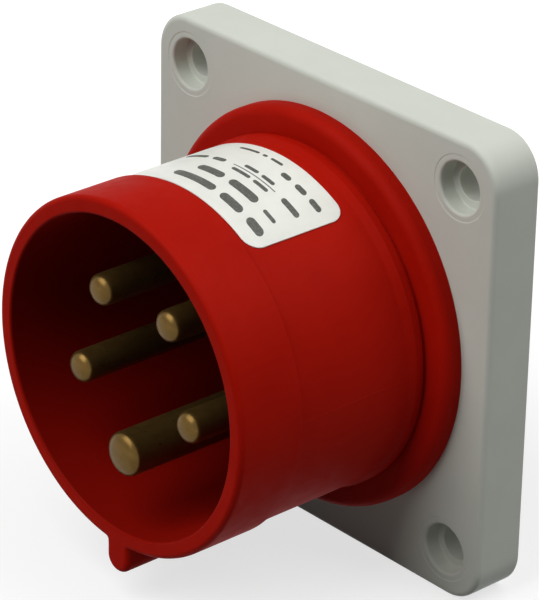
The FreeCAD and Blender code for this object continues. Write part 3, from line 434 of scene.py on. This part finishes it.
def around(radius: Array | float, distance: Array, angle: Array, centre: Pair = (0.0, 0.0)) -> Array:
    """Points round a line along Y: x = centre + r cos(a), z = centre + r sin(a), y = -distance.

    Args:
        radius: Distances from the line.
        distance: Distances in front of the panel face.
        angle: Angles from +X towards +Z.
        centre: X and Z of the line.

    Returns:
        The points, in millimetres, with their coordinates along the last axis.
    """
    radius, distance, angle = np.broadcast_arrays(radius, distance, angle)
    across = radius * np.cos(angle) + centre[0]
    up = radius * np.sin(angle) + centre[1]
    return np.stack([across, -distance, up], axis=-1)


def round_about(profile: Array, segments: int, centre: Pair = (0.0, 0.0)) -> Array:
    """Turns a profile of radii and distances about a line along Y in equal steps of a full turn."""
    angles = np.linspace(0.0, 2 * np.pi, segments, endpoint=False)
    return around(profile[:, :1], profile[:, 1:], angles, centre)


class MeshBuilder:
    """Gathers grids and flat fills, in millimetres, and welds them into one mesh."""

    def __init__(self) -> None:
        """Starts empty."""
        self.points: list[Array] = []
        self.faces: list[list[int]] = []
        self.count = 0

    def add_points(self, points: Array) -> int:
        """Adds points.

        Args:
            points: Array with the coordinates along its last axis.

        Returns:
            The number of the first point.
        """
        first = self.count
        self.points.append(points.reshape(-1, 3))
        self.count += len(self.points[-1])
        return first

    def add_grid(self, grid: Array, wrap_rows: bool = False, wrap_columns: bool = True) -> None:
        """Adds a grid of points and its quads, where point (row, column) is number row * columns + column.

        Args:
            grid: Array of rows, columns and coordinates.
            wrap_rows: True where the last row joins the first.
            wrap_columns: True where the last column joins the first.
        """
        rows, columns = grid.shape[:2]
        row = np.arange(rows if wrap_rows else rows - 1)
        column = np.arange(columns if wrap_columns else columns - 1)
        row, column = (part.ravel() for part in np.meshgrid(row, column, indexing="ij"))
        corners = ((row, column), (row, column + 1), (row + 1, column + 1), (row + 1, column))
        faces = np.stack([(line % rows) * columns + place % columns for line, place in corners], axis=1)
        self.faces += (faces + self.add_points(grid)).tolist()

    def add_pole(self, ring: Array, pole: Array) -> None:
        """Closes a ring with quads to a pole, which turn into triangles when they are welded."""
        self.add_grid(np.stack([ring, np.broadcast_to(pole, ring.shape)]))

    def add_fill(self, loops: list[Array]) -> None:
        """Fills a flat outline, less the holes in it, with triangles.

        Args:
            loops: Points of the outline, and then those of each hole.
        """
        first = self.add_points(np.concatenate(loops))
        fill = tessellate_polygon([[Vector(point) for point in loop] for loop in loops])
        self.faces += [[first + corner for corner in face] for face in fill]

    def finish(self, name: str, sharp_degrees: float) -> Mesh:
        """Welds what was gathered, turns all faces outwards and shades it smooth up to an angle.

        Args:
            name: Name of the mesh.
            sharp_degrees: Edges that bend more than this stay sharp.

        Returns:
            The mesh, in metres.
        """
        mesh = bpy.data.meshes.new(name)
        mesh.from_pydata((np.concatenate(self.points) * MM).tolist(), [], self.faces)
        smooth_skin(mesh, sharp_degrees)
        return mesh


def smooth_skin(mesh: Mesh, sharp_degrees: float) -> None:
    """Welds a mesh, turns its faces outwards and shades it smooth.

    Doubled vertices are merged and faces without area are dropped.

    Args:
        mesh: The mesh.
        sharp_degrees: Edges that bend more than this stay sharp.
    """
    work = bmesh.new()
    work.from_mesh(mesh)
    bmesh.ops.remove_doubles(work, verts=work.verts[:], dist=WELD)
    bmesh.ops.dissolve_degenerate(work, edges=work.edges[:], dist=WELD)
    bmesh.ops.recalc_face_normals(work, faces=work.faces[:])
    work.to_mesh(mesh)
    work.free()
    mesh.shade_smooth()
    mesh.set_sharp_from_angle(angle=np.radians(sharp_degrees))


def flat_areas(work: bmesh.types.BMesh, most: float = np.radians(0.5)) -> Array:
    """Area of the flat region that each face lies in.

    A region grows from a face over all neighbours whose normals lie within an angle of its own.

    Args:
        work: The mesh.
        most: The angle, in radians.

    Returns:
        One area for each face, in square metres.
    """
    areas = np.zeros(len(work.faces))
    seen = set()
    for face in work.faces:
        if face in seen:
            continue
        seen.add(face)
        region, waiting = [face], [face]
        while waiting:
            for edge in waiting.pop().edges:
                for other in edge.link_faces:
                    if other not in seen and other.normal.angle(face.normal, np.pi) < most:
                        seen.add(other)
                        region.append(other)
                        waiting.append(other)
        areas[[member.index for member in region]] = sum(member.calc_area() for member in region)
    return areas


def even_normals(mesh: Mesh, sharp_degrees: float) -> None:
    """Gives the corners of a triangulated mesh normals that keep its flats flat and its roundings round.

    A corner's normal is the mean of the normals of the faces at its vertex that lie within the angle
    of its own face, each weighted with its corner's angle and the square of its flat region's area.

    Args:
        mesh: The mesh.
        sharp_degrees: The angle.
    """
    work = bmesh.new()
    work.from_mesh(mesh)
    work.normal_update()
    work.faces.index_update()
    areas = flat_areas(work) / MM**2
    least = np.cos(np.radians(sharp_degrees))
    at_vertex = {vertex: [(corner.face.normal, corner.calc_angle() * areas[corner.face.index]**2)
                          for corner in vertex.link_loops] for vertex in work.verts}
    normals = []
    for face in work.faces:
        for corner in face.loops:
            mean = sum((normal * weight for normal, weight in at_vertex[corner.vert]
                        if normal.dot(face.normal) > least), Vector())
            normals.append((mean if mean.length > 0.0 else face.normal).normalized())
    work.free()
    mesh.normals_split_custom_set(normals)


@dataclass
class Shroud:
    """Red moulding: barrel with its mouth band, label recess, shoulder, collar, neck and key."""

    outer: float = 28.0
    inner: float = 25.3
    mouth: float = 48.0
    band_length: float = 11.4
    recess: float = 27.5
    recess_front: float = 36.2
    recess_rear: float = 15.2
    shoulder: float = 1.4
    rim_outside: float = 0.9
    rim_inside: float = 0.4
    rim_inner: float = 25.82
    collar: float = 32.15
    collar_front: float = 11.9
    collar_rear: float = 8.7
    collar_edge: float = 1.6
    neck: float = 26.7
    neck_rear: float = 2.2
    ledge: float = 23.4
    ledge_front: float = 10.5
    ledge_rear: float = 9.0
    key_half: float = 2.5
    key_reach: float = 32.8
    key_root: float = 0.35
    key_margin: float = 1.02
    key_angle: float = -QUARTER
    seam_height: float = 0.035
    seam_half: float = 0.16
    seam_front: float = 35.8
    seam_rear: float = 15.0
    seam_fade: float = 0.6
    groove_depth: float = 0.35
    groove_width: float = 0.6
    segments: int = 240

    def columns(self) -> Array:
        """Angles of the grid's columns, from the key all the way round.

        They lie close together where the outline bends: on the key's crest by equal steps of its
        half circle, up its sides by equal heights, across the root's rounding, and on the seams.

        Returns:
            Angles away from the key's middle, from 0 to a full turn.
        """
        crest_turn = np.linspace(0.0, QUARTER, 15)
        centre = self.key_reach - self.key_half
        crest = np.arctan2(self.key_half * np.sin(crest_turn), centre + self.key_half * np.cos(crest_turn))
        side = np.arctan2(self.key_half, np.linspace(centre, self.recess, 12)[1:])
        root_end = np.arcsin((self.key_half + self.key_root) / (self.recess + self.key_root))
        root = np.linspace(side[-1], root_end * self.key_margin, 9)[1:]
        seam = QUARTER + np.linspace(-1.5, 1.5, 13) * self.seam_half / self.outer
        gap = 2 * np.pi / self.segments
        before = np.arange(root[-1] + gap / 2, seam[0] - gap / 4, gap)
        after = np.arange(seam[-1] + gap / 2, np.pi - gap / 4, gap)
        half = np.concatenate([crest, side, root, before, seam, after])
        return np.concatenate([half, [np.pi], 2 * np.pi - half[:0:-1]])

    def outline(self, radius: Array, away: Array) -> Array:
        """Polar radius of the barrel's outline, its key included.

        From the key's middle outwards the outline is the half circle of the crest, then the flat side
        at half the key's width, then the rounding of the root, which touches both side and barrel, and
        then the barrel's own circle.

        Args:
            radius: Radius of the barrel, one row for each section.
            away: Angles away from the key's middle.

        Returns:
            Radii, one row for each section.
        """
        away = np.minimum(away, 2 * np.pi - away)[None]
        radius = radius[:, None]
        centre = self.key_reach - self.key_half
        crest = centre * np.cos(away) + np.sqrt(np.maximum(self.key_half**2 - (centre * np.sin(away))**2, 0))
        side = self.key_half / np.maximum(np.sin(away), 1e-9)
        orbit = radius + self.key_root
        root_angle = np.arcsin((self.key_half + self.key_root) / orbit)
        lift = away - root_angle
        root = orbit * np.cos(lift) - np.sqrt(np.maximum(self.key_root**2 - (orbit * np.sin(lift))**2, 0))
        side_end = np.arctan2(self.key_half, np.sqrt(orbit**2 - (self.key_half + self.key_root)**2))
        crest_end = np.arctan2(self.key_half, centre)
        return np.where(away <= crest_end, crest, np.where(away <= side_end, side, np.where(
            away <= root_angle, root, radius + 0 * away)))

    def body_profile(self) -> Array:
        """Radius and distance from the end of the rim's outer rounding back along the outside."""
        front = self.mouth - self.band_length
        return outline_of([
            (self.outer, self.mouth - self.rim_outside, 0),
            (self.outer, front, 0.12),
            (self.recess, self.recess_front, 0.12),
            (self.recess, self.recess_rear, 0.3),
            (self.outer, self.recess_rear - self.shoulder, 0.3),
            (self.outer, self.collar_front + self.groove_width, 0.12),
            (self.outer - self.groove_depth, self.collar_front + self.groove_width / 2, 0.1),
            (self.outer - self.groove_depth, self.collar_front, 0.1),
            (self.collar, self.collar_front, self.collar_edge),
            (self.collar, self.collar_rear, 0),
        ], steps=8)

    def inner_profile(self) -> Array:
        """Radius and distance from the collar's back round the neck and up the inside to the mouth."""
        return outline_of([
            (self.collar, self.collar_rear, 0),
            (self.neck, self.collar_rear, 0.1),
            (self.neck, self.neck_rear, 0.15),
            (self.inner, self.neck_rear, 0.15),
            (self.inner, self.ledge_rear, 0.1),
            (self.ledge, self.ledge_rear, 0.15),
            (self.ledge, self.ledge_front, 0.15),
            (self.inner, self.ledge_front, 0.3),
            (self.inner, self.mouth, self.rim_inside),
            (self.rim_inner, self.mouth, 0),
        ])

    def outside(self, away: Array) -> Array:
        """Rows of the outside: the body's profile with the key and the two seams on it.

        A seam is a low ridge: height * (1 + cos(pi * s / half width)) / 2 at s from its middle, and it
        fades out at both ends of the recess.

        Args:
            away: Angles away from the key's middle.

        Returns:
            Array of rows, columns and two values, radius and distance.
        """
        profile = self.body_profile()
        barrel = profile[:, 1] >= self.collar_front - 1e-6
        radius = np.repeat(profile[:, :1], len(away), axis=1)
        keyed = self.outline(np.minimum(profile[:, 0], self.outer), away)
        radius[barrel] = np.maximum(radius, keyed)[barrel]
        from_seam = np.abs(np.minimum(away, 2 * np.pi - away) - QUARTER) * self.outer
        wave = (1 + np.cos(np.pi * from_seam / self.seam_half)) / 2
        ridge = np.where(from_seam < self.seam_half, wave, 0.0)
        along = np.clip((self.seam_front - profile[:, 1]) / self.seam_fade, 0, 1)
        along *= np.clip((profile[:, 1] - self.seam_rear) / self.seam_fade, 0, 1)
        radius += self.seam_height * along[:, None] * ridge[None]
        return np.stack([radius, np.repeat(profile[:, 1:], len(away), axis=1)], axis=2)

    def rim(self, away: Array) -> Array:
        """Rows of the mouth's rounding and flat face, which take in the key's end.

        The barrel's outline is moved inwards along its own normal by r (1 - cos b) while the distance
        grows by r sin b, for b from 0 to a quarter turn, and is then drawn in to the inner circle.

        Args:
            away: Angles away from the key's middle.

        Returns:
            Array of rows, columns and two values across, X and Z, and the distance.
        """
        radius = self.outline(np.array([self.outer]), away)[0]
        angle = away + self.key_angle
        edge = np.stack([radius * np.cos(angle), radius * np.sin(angle)], axis=1)
        tangent = np.roll(edge, -1, axis=0) - np.roll(edge, 1, axis=0)
        tangent /= np.linalg.norm(tangent, axis=1)[:, None]
        inward = np.stack([-tangent[:, 1], tangent[:, 0]], axis=1)
        bend = np.linspace(0.0, QUARTER, 9)
        moved = edge[None] + (self.rim_outside * (1 - np.cos(bend)))[:, None, None] * inward[None]
        height = self.mouth - self.rim_outside + self.rim_outside * np.sin(bend)
        last = moved[-1]
        ring = np.arctan2(last[:, 1], last[:, 0])
        inside = self.rim_inner * np.stack([np.cos(ring), np.sin(ring)], axis=1)
        shares = np.array([0.06, 0.5, 1.0])[:, None, None]
        face = last[None] * (1 - shares) + inside[None] * shares
        across = np.concatenate([moved, face])
        distance = np.concatenate([height, np.full(len(shares), self.mouth)])
        return np.concatenate([across, np.repeat(distance[:, None, None], len(away), axis=1)], axis=2)

    def build(self, shop: Workshop) -> None:
        """Builds the moulding as one closed skin.

        Args:
            shop: Dresses and adds the pieces.
        """
        away = self.columns()
        angle = away + self.key_angle
        builder = MeshBuilder()
        outside = self.outside(away)
        builder.add_grid(around(outside[..., 0], outside[..., 1], angle))
        rim = self.rim(away)
        builder.add_grid(np.stack([rim[..., 0], -rim[..., 2], rim[..., 1]], axis=2))
        mouth_angle = np.arctan2(rim[-1, :, 1], rim[-1, :, 0])
        profile = self.inner_profile()
        share = np.clip((profile[:, 1] - self.collar_rear) / (self.mouth - self.collar_rear), 0, 1)[:, None]
        turned = angle + share * ((mouth_angle - angle + np.pi) % (2 * np.pi) - np.pi)
        builder.add_grid(around(profile[:, :1], profile[:, 1:], turned))
        mesh = builder.finish("shroud_skin", sharp_degrees=55.0)
        shop.piece("shroud", mesh, RED_PLASTIC, ("shroud_housing",))


@dataclass
class Flange:
    """Grey square flange: rounded front edge, four counterbored holes, bore and gasket bed."""

    side: float = 75.0
    corner: float = 6.5
    edge: float = 0.9
    front: float = 8.7
    rim: float = 1.9
    bed: float = 2.0
    pitch: float = 60.0
    hole: float = 2.7
    post: float = 4.3
    counterbore: float = 4.0
    counterbore_depth: float = 2.7
    counterbore_edge: float = 0.45
    spot: float = 5.2
    spot_depth: float = 0.06
    bore: float = 26.9
    seal_bed: float = 32.0
    seal_depth: float = 0.8
    corner_steps: int = 20
    side_steps: int = 24
    hole_segments: int = 72
    bore_segments: int = 160

    def outline(self) -> tuple[Array, Array]:
        """Rounded square of the flange's side and its outward normals.

        Each corner is the corner's centre plus the radius times (cos, sin) of equal steps of a quarter
        turn, and each side is stepped equally between two corners.

        Returns:
            Points and unit normals, each with X and Z.
        """
        inset = self.side / 2 - self.corner
        points, normals = [], []
        for quarter in range(4):
            angle = quarter * QUARTER + np.linspace(0.0, QUARTER, self.corner_steps + 1)
            normal = np.stack([np.cos(angle), np.sin(angle)], axis=1)
            signs = np.array([1 if quarter in (0, 3) else -1, 1 if quarter < 2 else -1])
            arc = inset * signs + self.corner * normal
            points.append(arc)
            normals.append(normal)
            following = np.array([[0.0, -1.0], [1.0, 0.0]]) @ (inset * signs) + self.corner * normal[-1]
            share = np.linspace(0.0, 1.0, self.side_steps + 2)[1:-1, None]
            points.append(arc[-1] * (1 - share) + following * share)
            normals.append(np.repeat(normal[-1:], self.side_steps, axis=0))
        return np.concatenate(points), np.concatenate(normals)

    def wall_profile(self) -> Array:
        """Distance inwards from the flange's side, and distance from the panel, front to bed."""
        return outline_of([
            (self.edge + 0.5, self.front, 0),
            (0.0, self.front, self.edge),
            (0.0, 0.0, 0.25),
            (self.rim, 0.0, 0.15),
            (self.rim, self.bed, 0.2),
            (self.rim + 0.5, self.bed, 0),
        ], steps=9)

    def hole_profile(self) -> Array:
        """Profile of a fixing hole, from the front face round its post to the bed.

        Returns:
            Radius and distance of each point.
        """
        spot_level = self.front - self.spot_depth
        floor = spot_level - self.counterbore_depth
        return outline_of([
            (self.spot + 0.3, self.front, 0),
            (self.spot, self.front, 0.05),
            (self.spot - 0.06, spot_level, 0.05),
            (self.counterbore, spot_level, self.counterbore_edge),
            (self.counterbore - 0.05, floor, 0.15),
            (self.hole, floor, 0.12),
            (self.hole, 0.0, 0.12),
            (self.post, 0.0, 0.2),
            (self.post, self.bed, 0.2),
            (self.post + 0.4, self.bed, 0),
        ], steps=8, margin=0.08)

    def bore_profile(self) -> Array:
        """Radius and distance of the middle bore, from the front face to the bed."""
        return outline_of([
            (self.seal_bed + 0.3, self.front, 0),
            (self.seal_bed, self.front, 0.1),
            (self.seal_bed, self.front - self.seal_depth, 0.1),
            (self.bore, self.front - self.seal_depth, 0.1),
            (self.bore, self.bed, 0.1),
            (self.bore + 0.4, self.bed, 0),
        ])

    def build(self, shop: Workshop) -> None:
        """Builds the flange from its wall, holes, bore and the two flat faces between them.

        Args:
            shop: Dresses and adds the pieces.
        """
        builder = MeshBuilder()
        points, normals = self.outline()
        profile = self.wall_profile()
        across = points - profile[:, :1, None] * normals
        distance = np.repeat(profile[:, 1:], len(points), axis=1)
        wall = np.stack([across[..., 0], -distance, across[..., 1]], axis=2)
        builder.add_grid(wall)
        half = self.pitch / 2
        places = [(half, half), (-half, half), (-half, -half), (half, -half)]
        openings = [round_about(self.hole_profile(), self.hole_segments, place) for place in places]
        openings.append(round_about(self.bore_profile(), self.bore_segments))
        for opening in openings:
            builder.add_grid(opening)
        builder.add_fill([wall[0]] + [opening[0] for opening in openings])
        builder.add_fill([wall[-1]] + [opening[-1] for opening in openings])
        mesh = builder.finish("flange_skin", sharp_degrees=50.0)
        shop.piece("flange_plate", mesh, GREY_PLASTIC, ("mounting_flange",))


@dataclass
class Contacts:
    """Five brass pins with their terminal barrels."""

    circle: float = 13.1
    barrel: float = 4.5
    barrel_front: float = 5.5
    barrel_rear: float = -13.0
    wire_bore: float = 2.2
    wire_depth: float = 10.0
    shoulder: float = 0.4
    shoulder_front: float = 11.2
    tip_height: float = 1.7
    tip_power: float = 0.86
    segments: int = 64
    pins: tuple[tuple[str, float, float, float], ...] = (
        ("earth_pin", -90.0, 3.5, 47.7),
        ("phase_pin_1", -18.0, 2.5, 45.7),
        ("phase_pin_2", 54.0, 2.5, 45.7),
        ("phase_pin_3", 126.0, 2.5, 45.7),
        ("neutral_pin", 198.0, 2.5, 45.7),
    )

    def profile(self, radius: float, tip: float) -> Array:
        """Radius and distance of a pin, from its tip to the bottom of its wire bore.

        The tip is a superellipse: for a from 0 to a quarter turn, its radius is the pin's radius
        times sin(a)^power, and it drops by height * (1 - cos(a)^power).

        Args:
            radius: Radius of the pin.
            tip: Distance of its tip.

        Returns:
            Points of the profile.
        """
        bottom = self.barrel_rear + self.wire_depth
        bend = np.linspace(0.0, QUARTER, 20)[1:-1]
        dome = np.stack([radius * np.sin(bend)**self.tip_power,
                         tip - self.tip_height * (1 - np.cos(bend)**self.tip_power)], axis=1)
        rest = outline_of([
            (radius, tip - self.tip_height, 0),
            (radius, self.shoulder_front + self.shoulder, 0),
            (radius + self.shoulder, self.shoulder_front, 0),
            (radius + self.shoulder, self.barrel_front, 0.15),
            (self.barrel, self.barrel_front, 0.25),
            (self.barrel, self.barrel_rear, 0.25),
            (self.wire_bore, self.barrel_rear, 0.3),
            (self.wire_bore, bottom, 0.2),
            (0.3, bottom, 0),
        ], steps=12)
        return np.concatenate([[[0.0, tip]], dome, rest, [[0.0, bottom]]])

    def build(self, shop: Workshop) -> None:
        """Builds the pins, each turned about its own line.

        Args:
            shop: Dresses and adds the pieces.
        """
        for name, degrees, radius, tip in self.pins:
            angle = np.radians(degrees)
            builder = MeshBuilder()
            centre = (self.circle * np.cos(angle), self.circle * np.sin(angle))
            profile = self.profile(radius, tip)
            grid = round_about(profile[1:-1], self.segments, centre)
            builder.add_grid(grid)
            for ring, (_, distance) in ((grid[0], profile[0]), (grid[-1], profile[-1])):
                builder.add_pole(ring, around(0.0, distance, 0.0, centre))
            mesh = builder.finish(f"{name}_skin", sharp_degrees=50.0)
            shop.piece(name.replace("pin", "contact"), mesh, TURNED_BRASS, (name,))


@dataclass
class Label:
    """White label with rounded corners in the barrel's recess, with rows of plain bars as print."""

    inner: float = 27.55
    outer: float = 27.70
    middle_degrees: float = 87.8
    width_degrees: float = 64.5
    front: float = 35.8
    rear: float = 17.2
    corner: float = 2.6
    edge: float = 0.05
    rings: int = 40
    # Inset and drop of the outermost rings, as shares of the edge
    edge_rings: tuple[Pair, ...] = ((1.5, 0.0), (1.0, 0.0), (0.3, 0.3), (0.0, 1.0))
    ink: float = 0.012
    ink_root: float = -0.03
    slant: float = 0.25
    column: float = 0.6
    end_turn: float = 0.95 * QUARTER
    bars: tuple[tuple[float, float, tuple[float, ...]], ...] = (
        # Distance of the row from the rear edge, height of its bars, and their starts and ends in turn
        (15.2, 1.7, (1.8, 5.4, 6.8, 11.6, 13.0, 22.0)),
        (11.6, 1.7, (7.6, 13.8, 15.2, 20.8)),
        (11.8, 0.75, (3.0, 5.8)),
        (8.6, 0.75, (8.8, 12.0, 12.8, 16.8)),
        (7.6, 1.1, (2.6, 6.6, 19.4, 22.2, 23.4, 28.6)),
        (7.6, 0.2, (8.2, 17.6)),
        (6.6, 0.75, (9.6, 12.4, 13.2, 16.2)),
        (3.6, 1.1, (2.2, 4.8, 5.8, 8.2, 9.4, 11.4)),
        (2.0, 0.6, (13.0, 15.6, 16.4, 17.4, 18.2, 22.6)),
    )

    def bent(self, across: Array, distance: Array, radius: Array | float) -> Array:
        """Bends a flat sheet round the barrel: the angle is the middle less the width across / radius."""
        angle = np.radians(self.middle_degrees) - across / self.outer
        return around(radius, distance, angle)

    def sheet(self) -> MeshBuilder:
        """Closed sheet: rings that shrink from the rounded outline to the middle, above and below.

        A ring at share t is the middle plus t times the outline, so that rings fill the label like
        the rings of an onion, and the two sides meet round the edge.

        Returns:
            The gathered mesh.
        """
        half_width = np.radians(self.width_degrees) / 2 * self.outer
        half_length = (self.front - self.rear) / 2
        middle = (self.front + self.rear) / 2
        signs = ((1, -1), (1, 1), (-1, 1), (-1, -1))
        corners = [(half_width * side, half_length * end, self.corner) for side, end in signs]
        outline = outline_of(corners, closed=True, steps=14, longest=0.7)
        inset, drop = np.array(self.edge_rings).T * self.edge
        even = np.linspace(1 / self.rings, 1 - 2 / self.rings, self.rings - 2)
        shares = np.concatenate([even, 1 - inset / half_length])
        lift = self.outer - np.concatenate([0 * even, drop])
        under = np.full(len(shares), self.inner)
        builder = MeshBuilder()
        scale = np.concatenate([shares, shares[::-1]])[:, None]
        radius = np.concatenate([lift, under])[:, None]
        grid = self.bent(scale * outline[None, :, 0], middle + scale * outline[None, :, 1], radius)
        builder.add_grid(grid)
        for ring, level in ((grid[0], self.outer), (grid[-1], self.inner)):
            builder.add_pole(ring, self.bent(np.array(0.0), np.array(middle), level))
        return builder

    def bar(self, builder: MeshBuilder, start: float, end: float, along: float, height: float) -> None:
        """Adds one slanted bar with round ends as a thin closed block, bent with the label.

        At x across, half of its height is sqrt(h^2 - d^2), with h half the full height and d the
        distance that x lies inside the round end, and 0 in between.

        Args:
            builder: The print's mesh.
            start: Start of the bar across the label, from its right end.
            end: Its end.
            along: Distance of its middle from the label's rear edge.
            height: Its full height.
        """
        half = height / 2
        turn = np.linspace(-self.end_turn, 0.0, 6)
        count = max(2, int((end - start - height) / self.column) + 1)
        straight = np.linspace(start + half, end - half, count)[1:-1]
        across = np.concatenate([start + half + half * np.sin(turn), straight,
                                 end - half - half * np.sin(turn[::-1])])
        reach = np.concatenate([half * np.cos(turn), np.full(count - 2, half), half * np.cos(turn[::-1])])
        beside = np.array([-1.0, 1.0, 1.0, -1.0])[:, None] * reach[None]
        radius = np.array([self.ink_root, self.ink_root, self.ink, self.ink])[:, None] + self.outer
        right_end = np.radians(self.width_degrees) / 2 * self.outer
        grid = self.bent(right_end - across[None] + self.slant * beside, self.rear + along + beside, radius)
        first = builder.count
        builder.add_grid(grid, wrap_rows=True, wrap_columns=False)
        columns = grid.shape[1]
        rear_end = [first + row * columns for row in range(4)]
        builder.faces += [rear_end, [corner + columns - 1 for corner in reversed(rear_end)]]

    def build(self, shop: Workshop) -> None:
        """Builds the label's sheet and its print, rows of plain bars in place of words.

        Args:
            shop: Dresses and adds the pieces.
        """
        sheet = self.sheet().finish("label_sheet_skin", sharp_degrees=60.0)
        shop.piece("label_sheet", sheet, LABEL_FILM, ("rating_label",))
        rows = MeshBuilder()
        for along, height, ends in self.bars:
            for start, end in zip(ends[::2], ends[1::2]):
                self.bar(rows, start, end, along, height)
        shop.piece("label_print", rows.finish("label_print_skin", sharp_degrees=30.0), PRINT_INK)


@dataclass
class RearPieces:
    """Pieces behind and inside, which keep their CAD shapes."""

    smoothed: tuple[tuple[Finish, tuple[str, ...]], ...] = (
        (INSULATOR_PLASTIC, ("contact_plate", "terminal_block", "retaining_ring")),
        (PLATED_STEEL, ("retaining_screws", "retaining_washers", "block_screw", "block_washer", "block_nut",
                        "terminal_screws")),
        (SEAL_RUBBER, ("panel_gasket",)),
    )
    hidden_seals: tuple[str, ...] = ("collar_seal", "carrier_seal")
    sharp_degrees: float = 38.0

    def build(self, shop: Workshop) -> None:
        """Dresses smooth copies of the CAD nodes, and finishes the hidden seals' own nodes as they are.

        Args:
            shop: Dresses and adds the pieces.
        """
        for finish, nodes in self.smoothed:
            for node in nodes:
                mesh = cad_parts[node].data.copy()
                mesh.name = f"{node}_skin"
                smooth_skin(mesh, self.sharp_degrees)
                even_normals(mesh, self.sharp_degrees)
                shop.piece(f"{node}_dressed", mesh, finish, (node,))
        for node in self.hidden_seals:
            shop.finish(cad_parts[node].data, SEAL_RUBBER)


@dataclass
class Studio:
    """Pale floor and backdrop, soft lamps and the photograph's camera."""

    azimuth: float = 48.26
    elevation: float = 25.99
    roll: float = 0.98
    across: float = -14.84
    up: float = 1.81
    away: float = 547.15
    focal_pixels: float = 3534.59
    centre_pixels: Pair = (260.67, 275.78)
    picture: Pair = (539.0, 600.0)
    sensor: float = 36.0
    floor_half: float = 6.0
    floor_level: float = -37.5
    lamp_aim: Triple = (0.0, -0.02, 0.0)
    world_strength: float = 0.025
    floor_colour: Triple = (0.34, 0.34, 0.34)
    floor_bounce: Triple = (0.15, 0.15, 0.15)
    floor_glow: Pair = (0.70, 1.0)
    floor_fade: Pair = (0.06, 0.32)
    floor_roughness: float = 0.8
    floor_specular: float = 0.1
    lamps: tuple[tuple[str, Triple, float, float], ...] = (
        ("front_lamp", (-0.15, -0.65, 0.85), 0.9, 9.9),
        ("high_lamp", (0.55, 0.3, 0.85), 0.6, 5.2),
        ("rear_lamp", (-0.08, 0.6, 0.82), 0.5, 1.0),
        ("side_lamp", (0.88, 0.62, 0.02), 0.5, 0.5),
    )

    def camera_axes(self) -> Array:
        """Directions of the camera's own axes.

        Back points from the object to the camera: (sin a cos e, -cos a cos e, sin e). Right is the
        vertical crossed with back, up is back crossed with right, and both are then rolled.

        Returns:
            Right, up and back, one row each.
        """
        turn, lift, roll = np.radians([self.azimuth, self.elevation, self.roll])
        back = np.array([np.sin(turn) * np.cos(lift), -np.cos(turn) * np.cos(lift), np.sin(lift)])
        right = np.cross([0.0, 0.0, 1.0], back)
        right /= np.linalg.norm(right)
        up = np.cross(back, right)
        return np.array([np.cos(roll) * right + np.sin(roll) * up,
                         np.cos(roll) * up - np.sin(roll) * right, back])

    def add_camera(self) -> None:
        """Sets the camera at the photograph's place, with its length and shift."""
        axes = self.camera_axes()
        data = bpy.data.cameras.new("photo_camera")
        camera = add_object("photo_camera", data)
        place = axes.T @ np.array([self.across, self.up, self.away]) * MM
        matrix = Matrix(axes.T.tolist()).to_4x4()
        matrix.translation = Vector(place)
        camera.matrix_world = matrix
        longest = max(self.picture)
        data.sensor_width = self.sensor
        data.lens = self.focal_pixels / longest * self.sensor
        data.shift_x = (self.picture[0] / 2 - self.centre_pixels[0]) / longest
        data.shift_y = (self.centre_pixels[1] - self.picture[1] / 2) / longest
        data.clip_start = 0.01
        bpy.context.scene.camera = camera

    def add_lamps(self) -> None:
        """Adds soft square lamps that face the object, by name, place and side in metres, and watts."""
        for name, place, side, power in self.lamps:
            data = bpy.data.lights.new(name, "AREA")
            data.shape = "SQUARE"
            data.size = side
            data.energy = power
            lamp = add_object(name, data)
            lamp.location = place
            lamp.rotation_euler = (Vector(self.lamp_aim) - Vector(place)).to_track_quat("-Z", "Y").to_euler()

    def add_world(self) -> None:
        """White surroundings: full white where shown, and weak as light."""
        world = bpy.data.worlds.new("studio_world")
        bpy.context.scene.world = world
        tree = NodeTree(world)
        weak, full = (tree.add("Background", {"Color": WHITE, "Strength": strength}).outputs[0]
                      for strength in (self.world_strength, 1.0))
        mix = tree.add("MixShader", {0: tree.shown(), 1: weak, 2: full})
        tree.add("OutputWorld", {"Surface": mix.outputs[0]})

    def add_floor(self) -> None:
        """Pale floor under the flange's lower edge.

        Rays from the camera, mirrors and glass see it as a pale surface that takes the object's
        shadow and glows a little, more so with the distance from the object. Others see it plain.
        """
        half = self.floor_half
        level = self.floor_level * MM
        mesh = bpy.data.meshes.new("floor")
        corners = [(-half, -half, level), (half, -half, level), (half, half, level), (-half, half, level)]
        mesh.from_pydata(corners, [], [(0, 1, 2, 3)])
        floor = add_object("floor", mesh)
        tree = Shading("pale_floor")
        seen = tree.shown()
        reach = tree.add("VectorMath", {0: tree.place}, operation="LENGTH").outputs["Value"]
        fade = tree.spread(reach, *self.floor_glow, *self.floor_fade)
        tree.feed(tree.shader, {
            "Base Color": tree.blend(seen, self.floor_bounce, self.floor_colour),
            "Roughness": self.floor_roughness,
            "Specular IOR Level": self.floor_specular,
            "Emission Color": WHITE,
            "Emission Strength": tree.add("Math", {0: seen, 1: fade}, operation="MULTIPLY").outputs[0],
        })
        mesh.materials.append(tree.owner)

    def build(self) -> None:
        """Sets up the camera, the lamps, the world and the floor."""
        self.add_camera()
        self.add_lamps()
        self.add_world()
        self.add_floor()
        bpy.context.scene.view_settings.view_transform = "Standard"


def main() -> None:
    """Builds every part of the inlet in order and sets up the studio."""
    logging.basicConfig(level=logging.INFO, format="%(name)s %(message)s")
    shop = Workshop()
    for part in (Shroud(), Flange(), Contacts(), Label(), RearPieces()):
        part.build(shop)
    Studio().build()


if __name__ == "__main__":
    main()
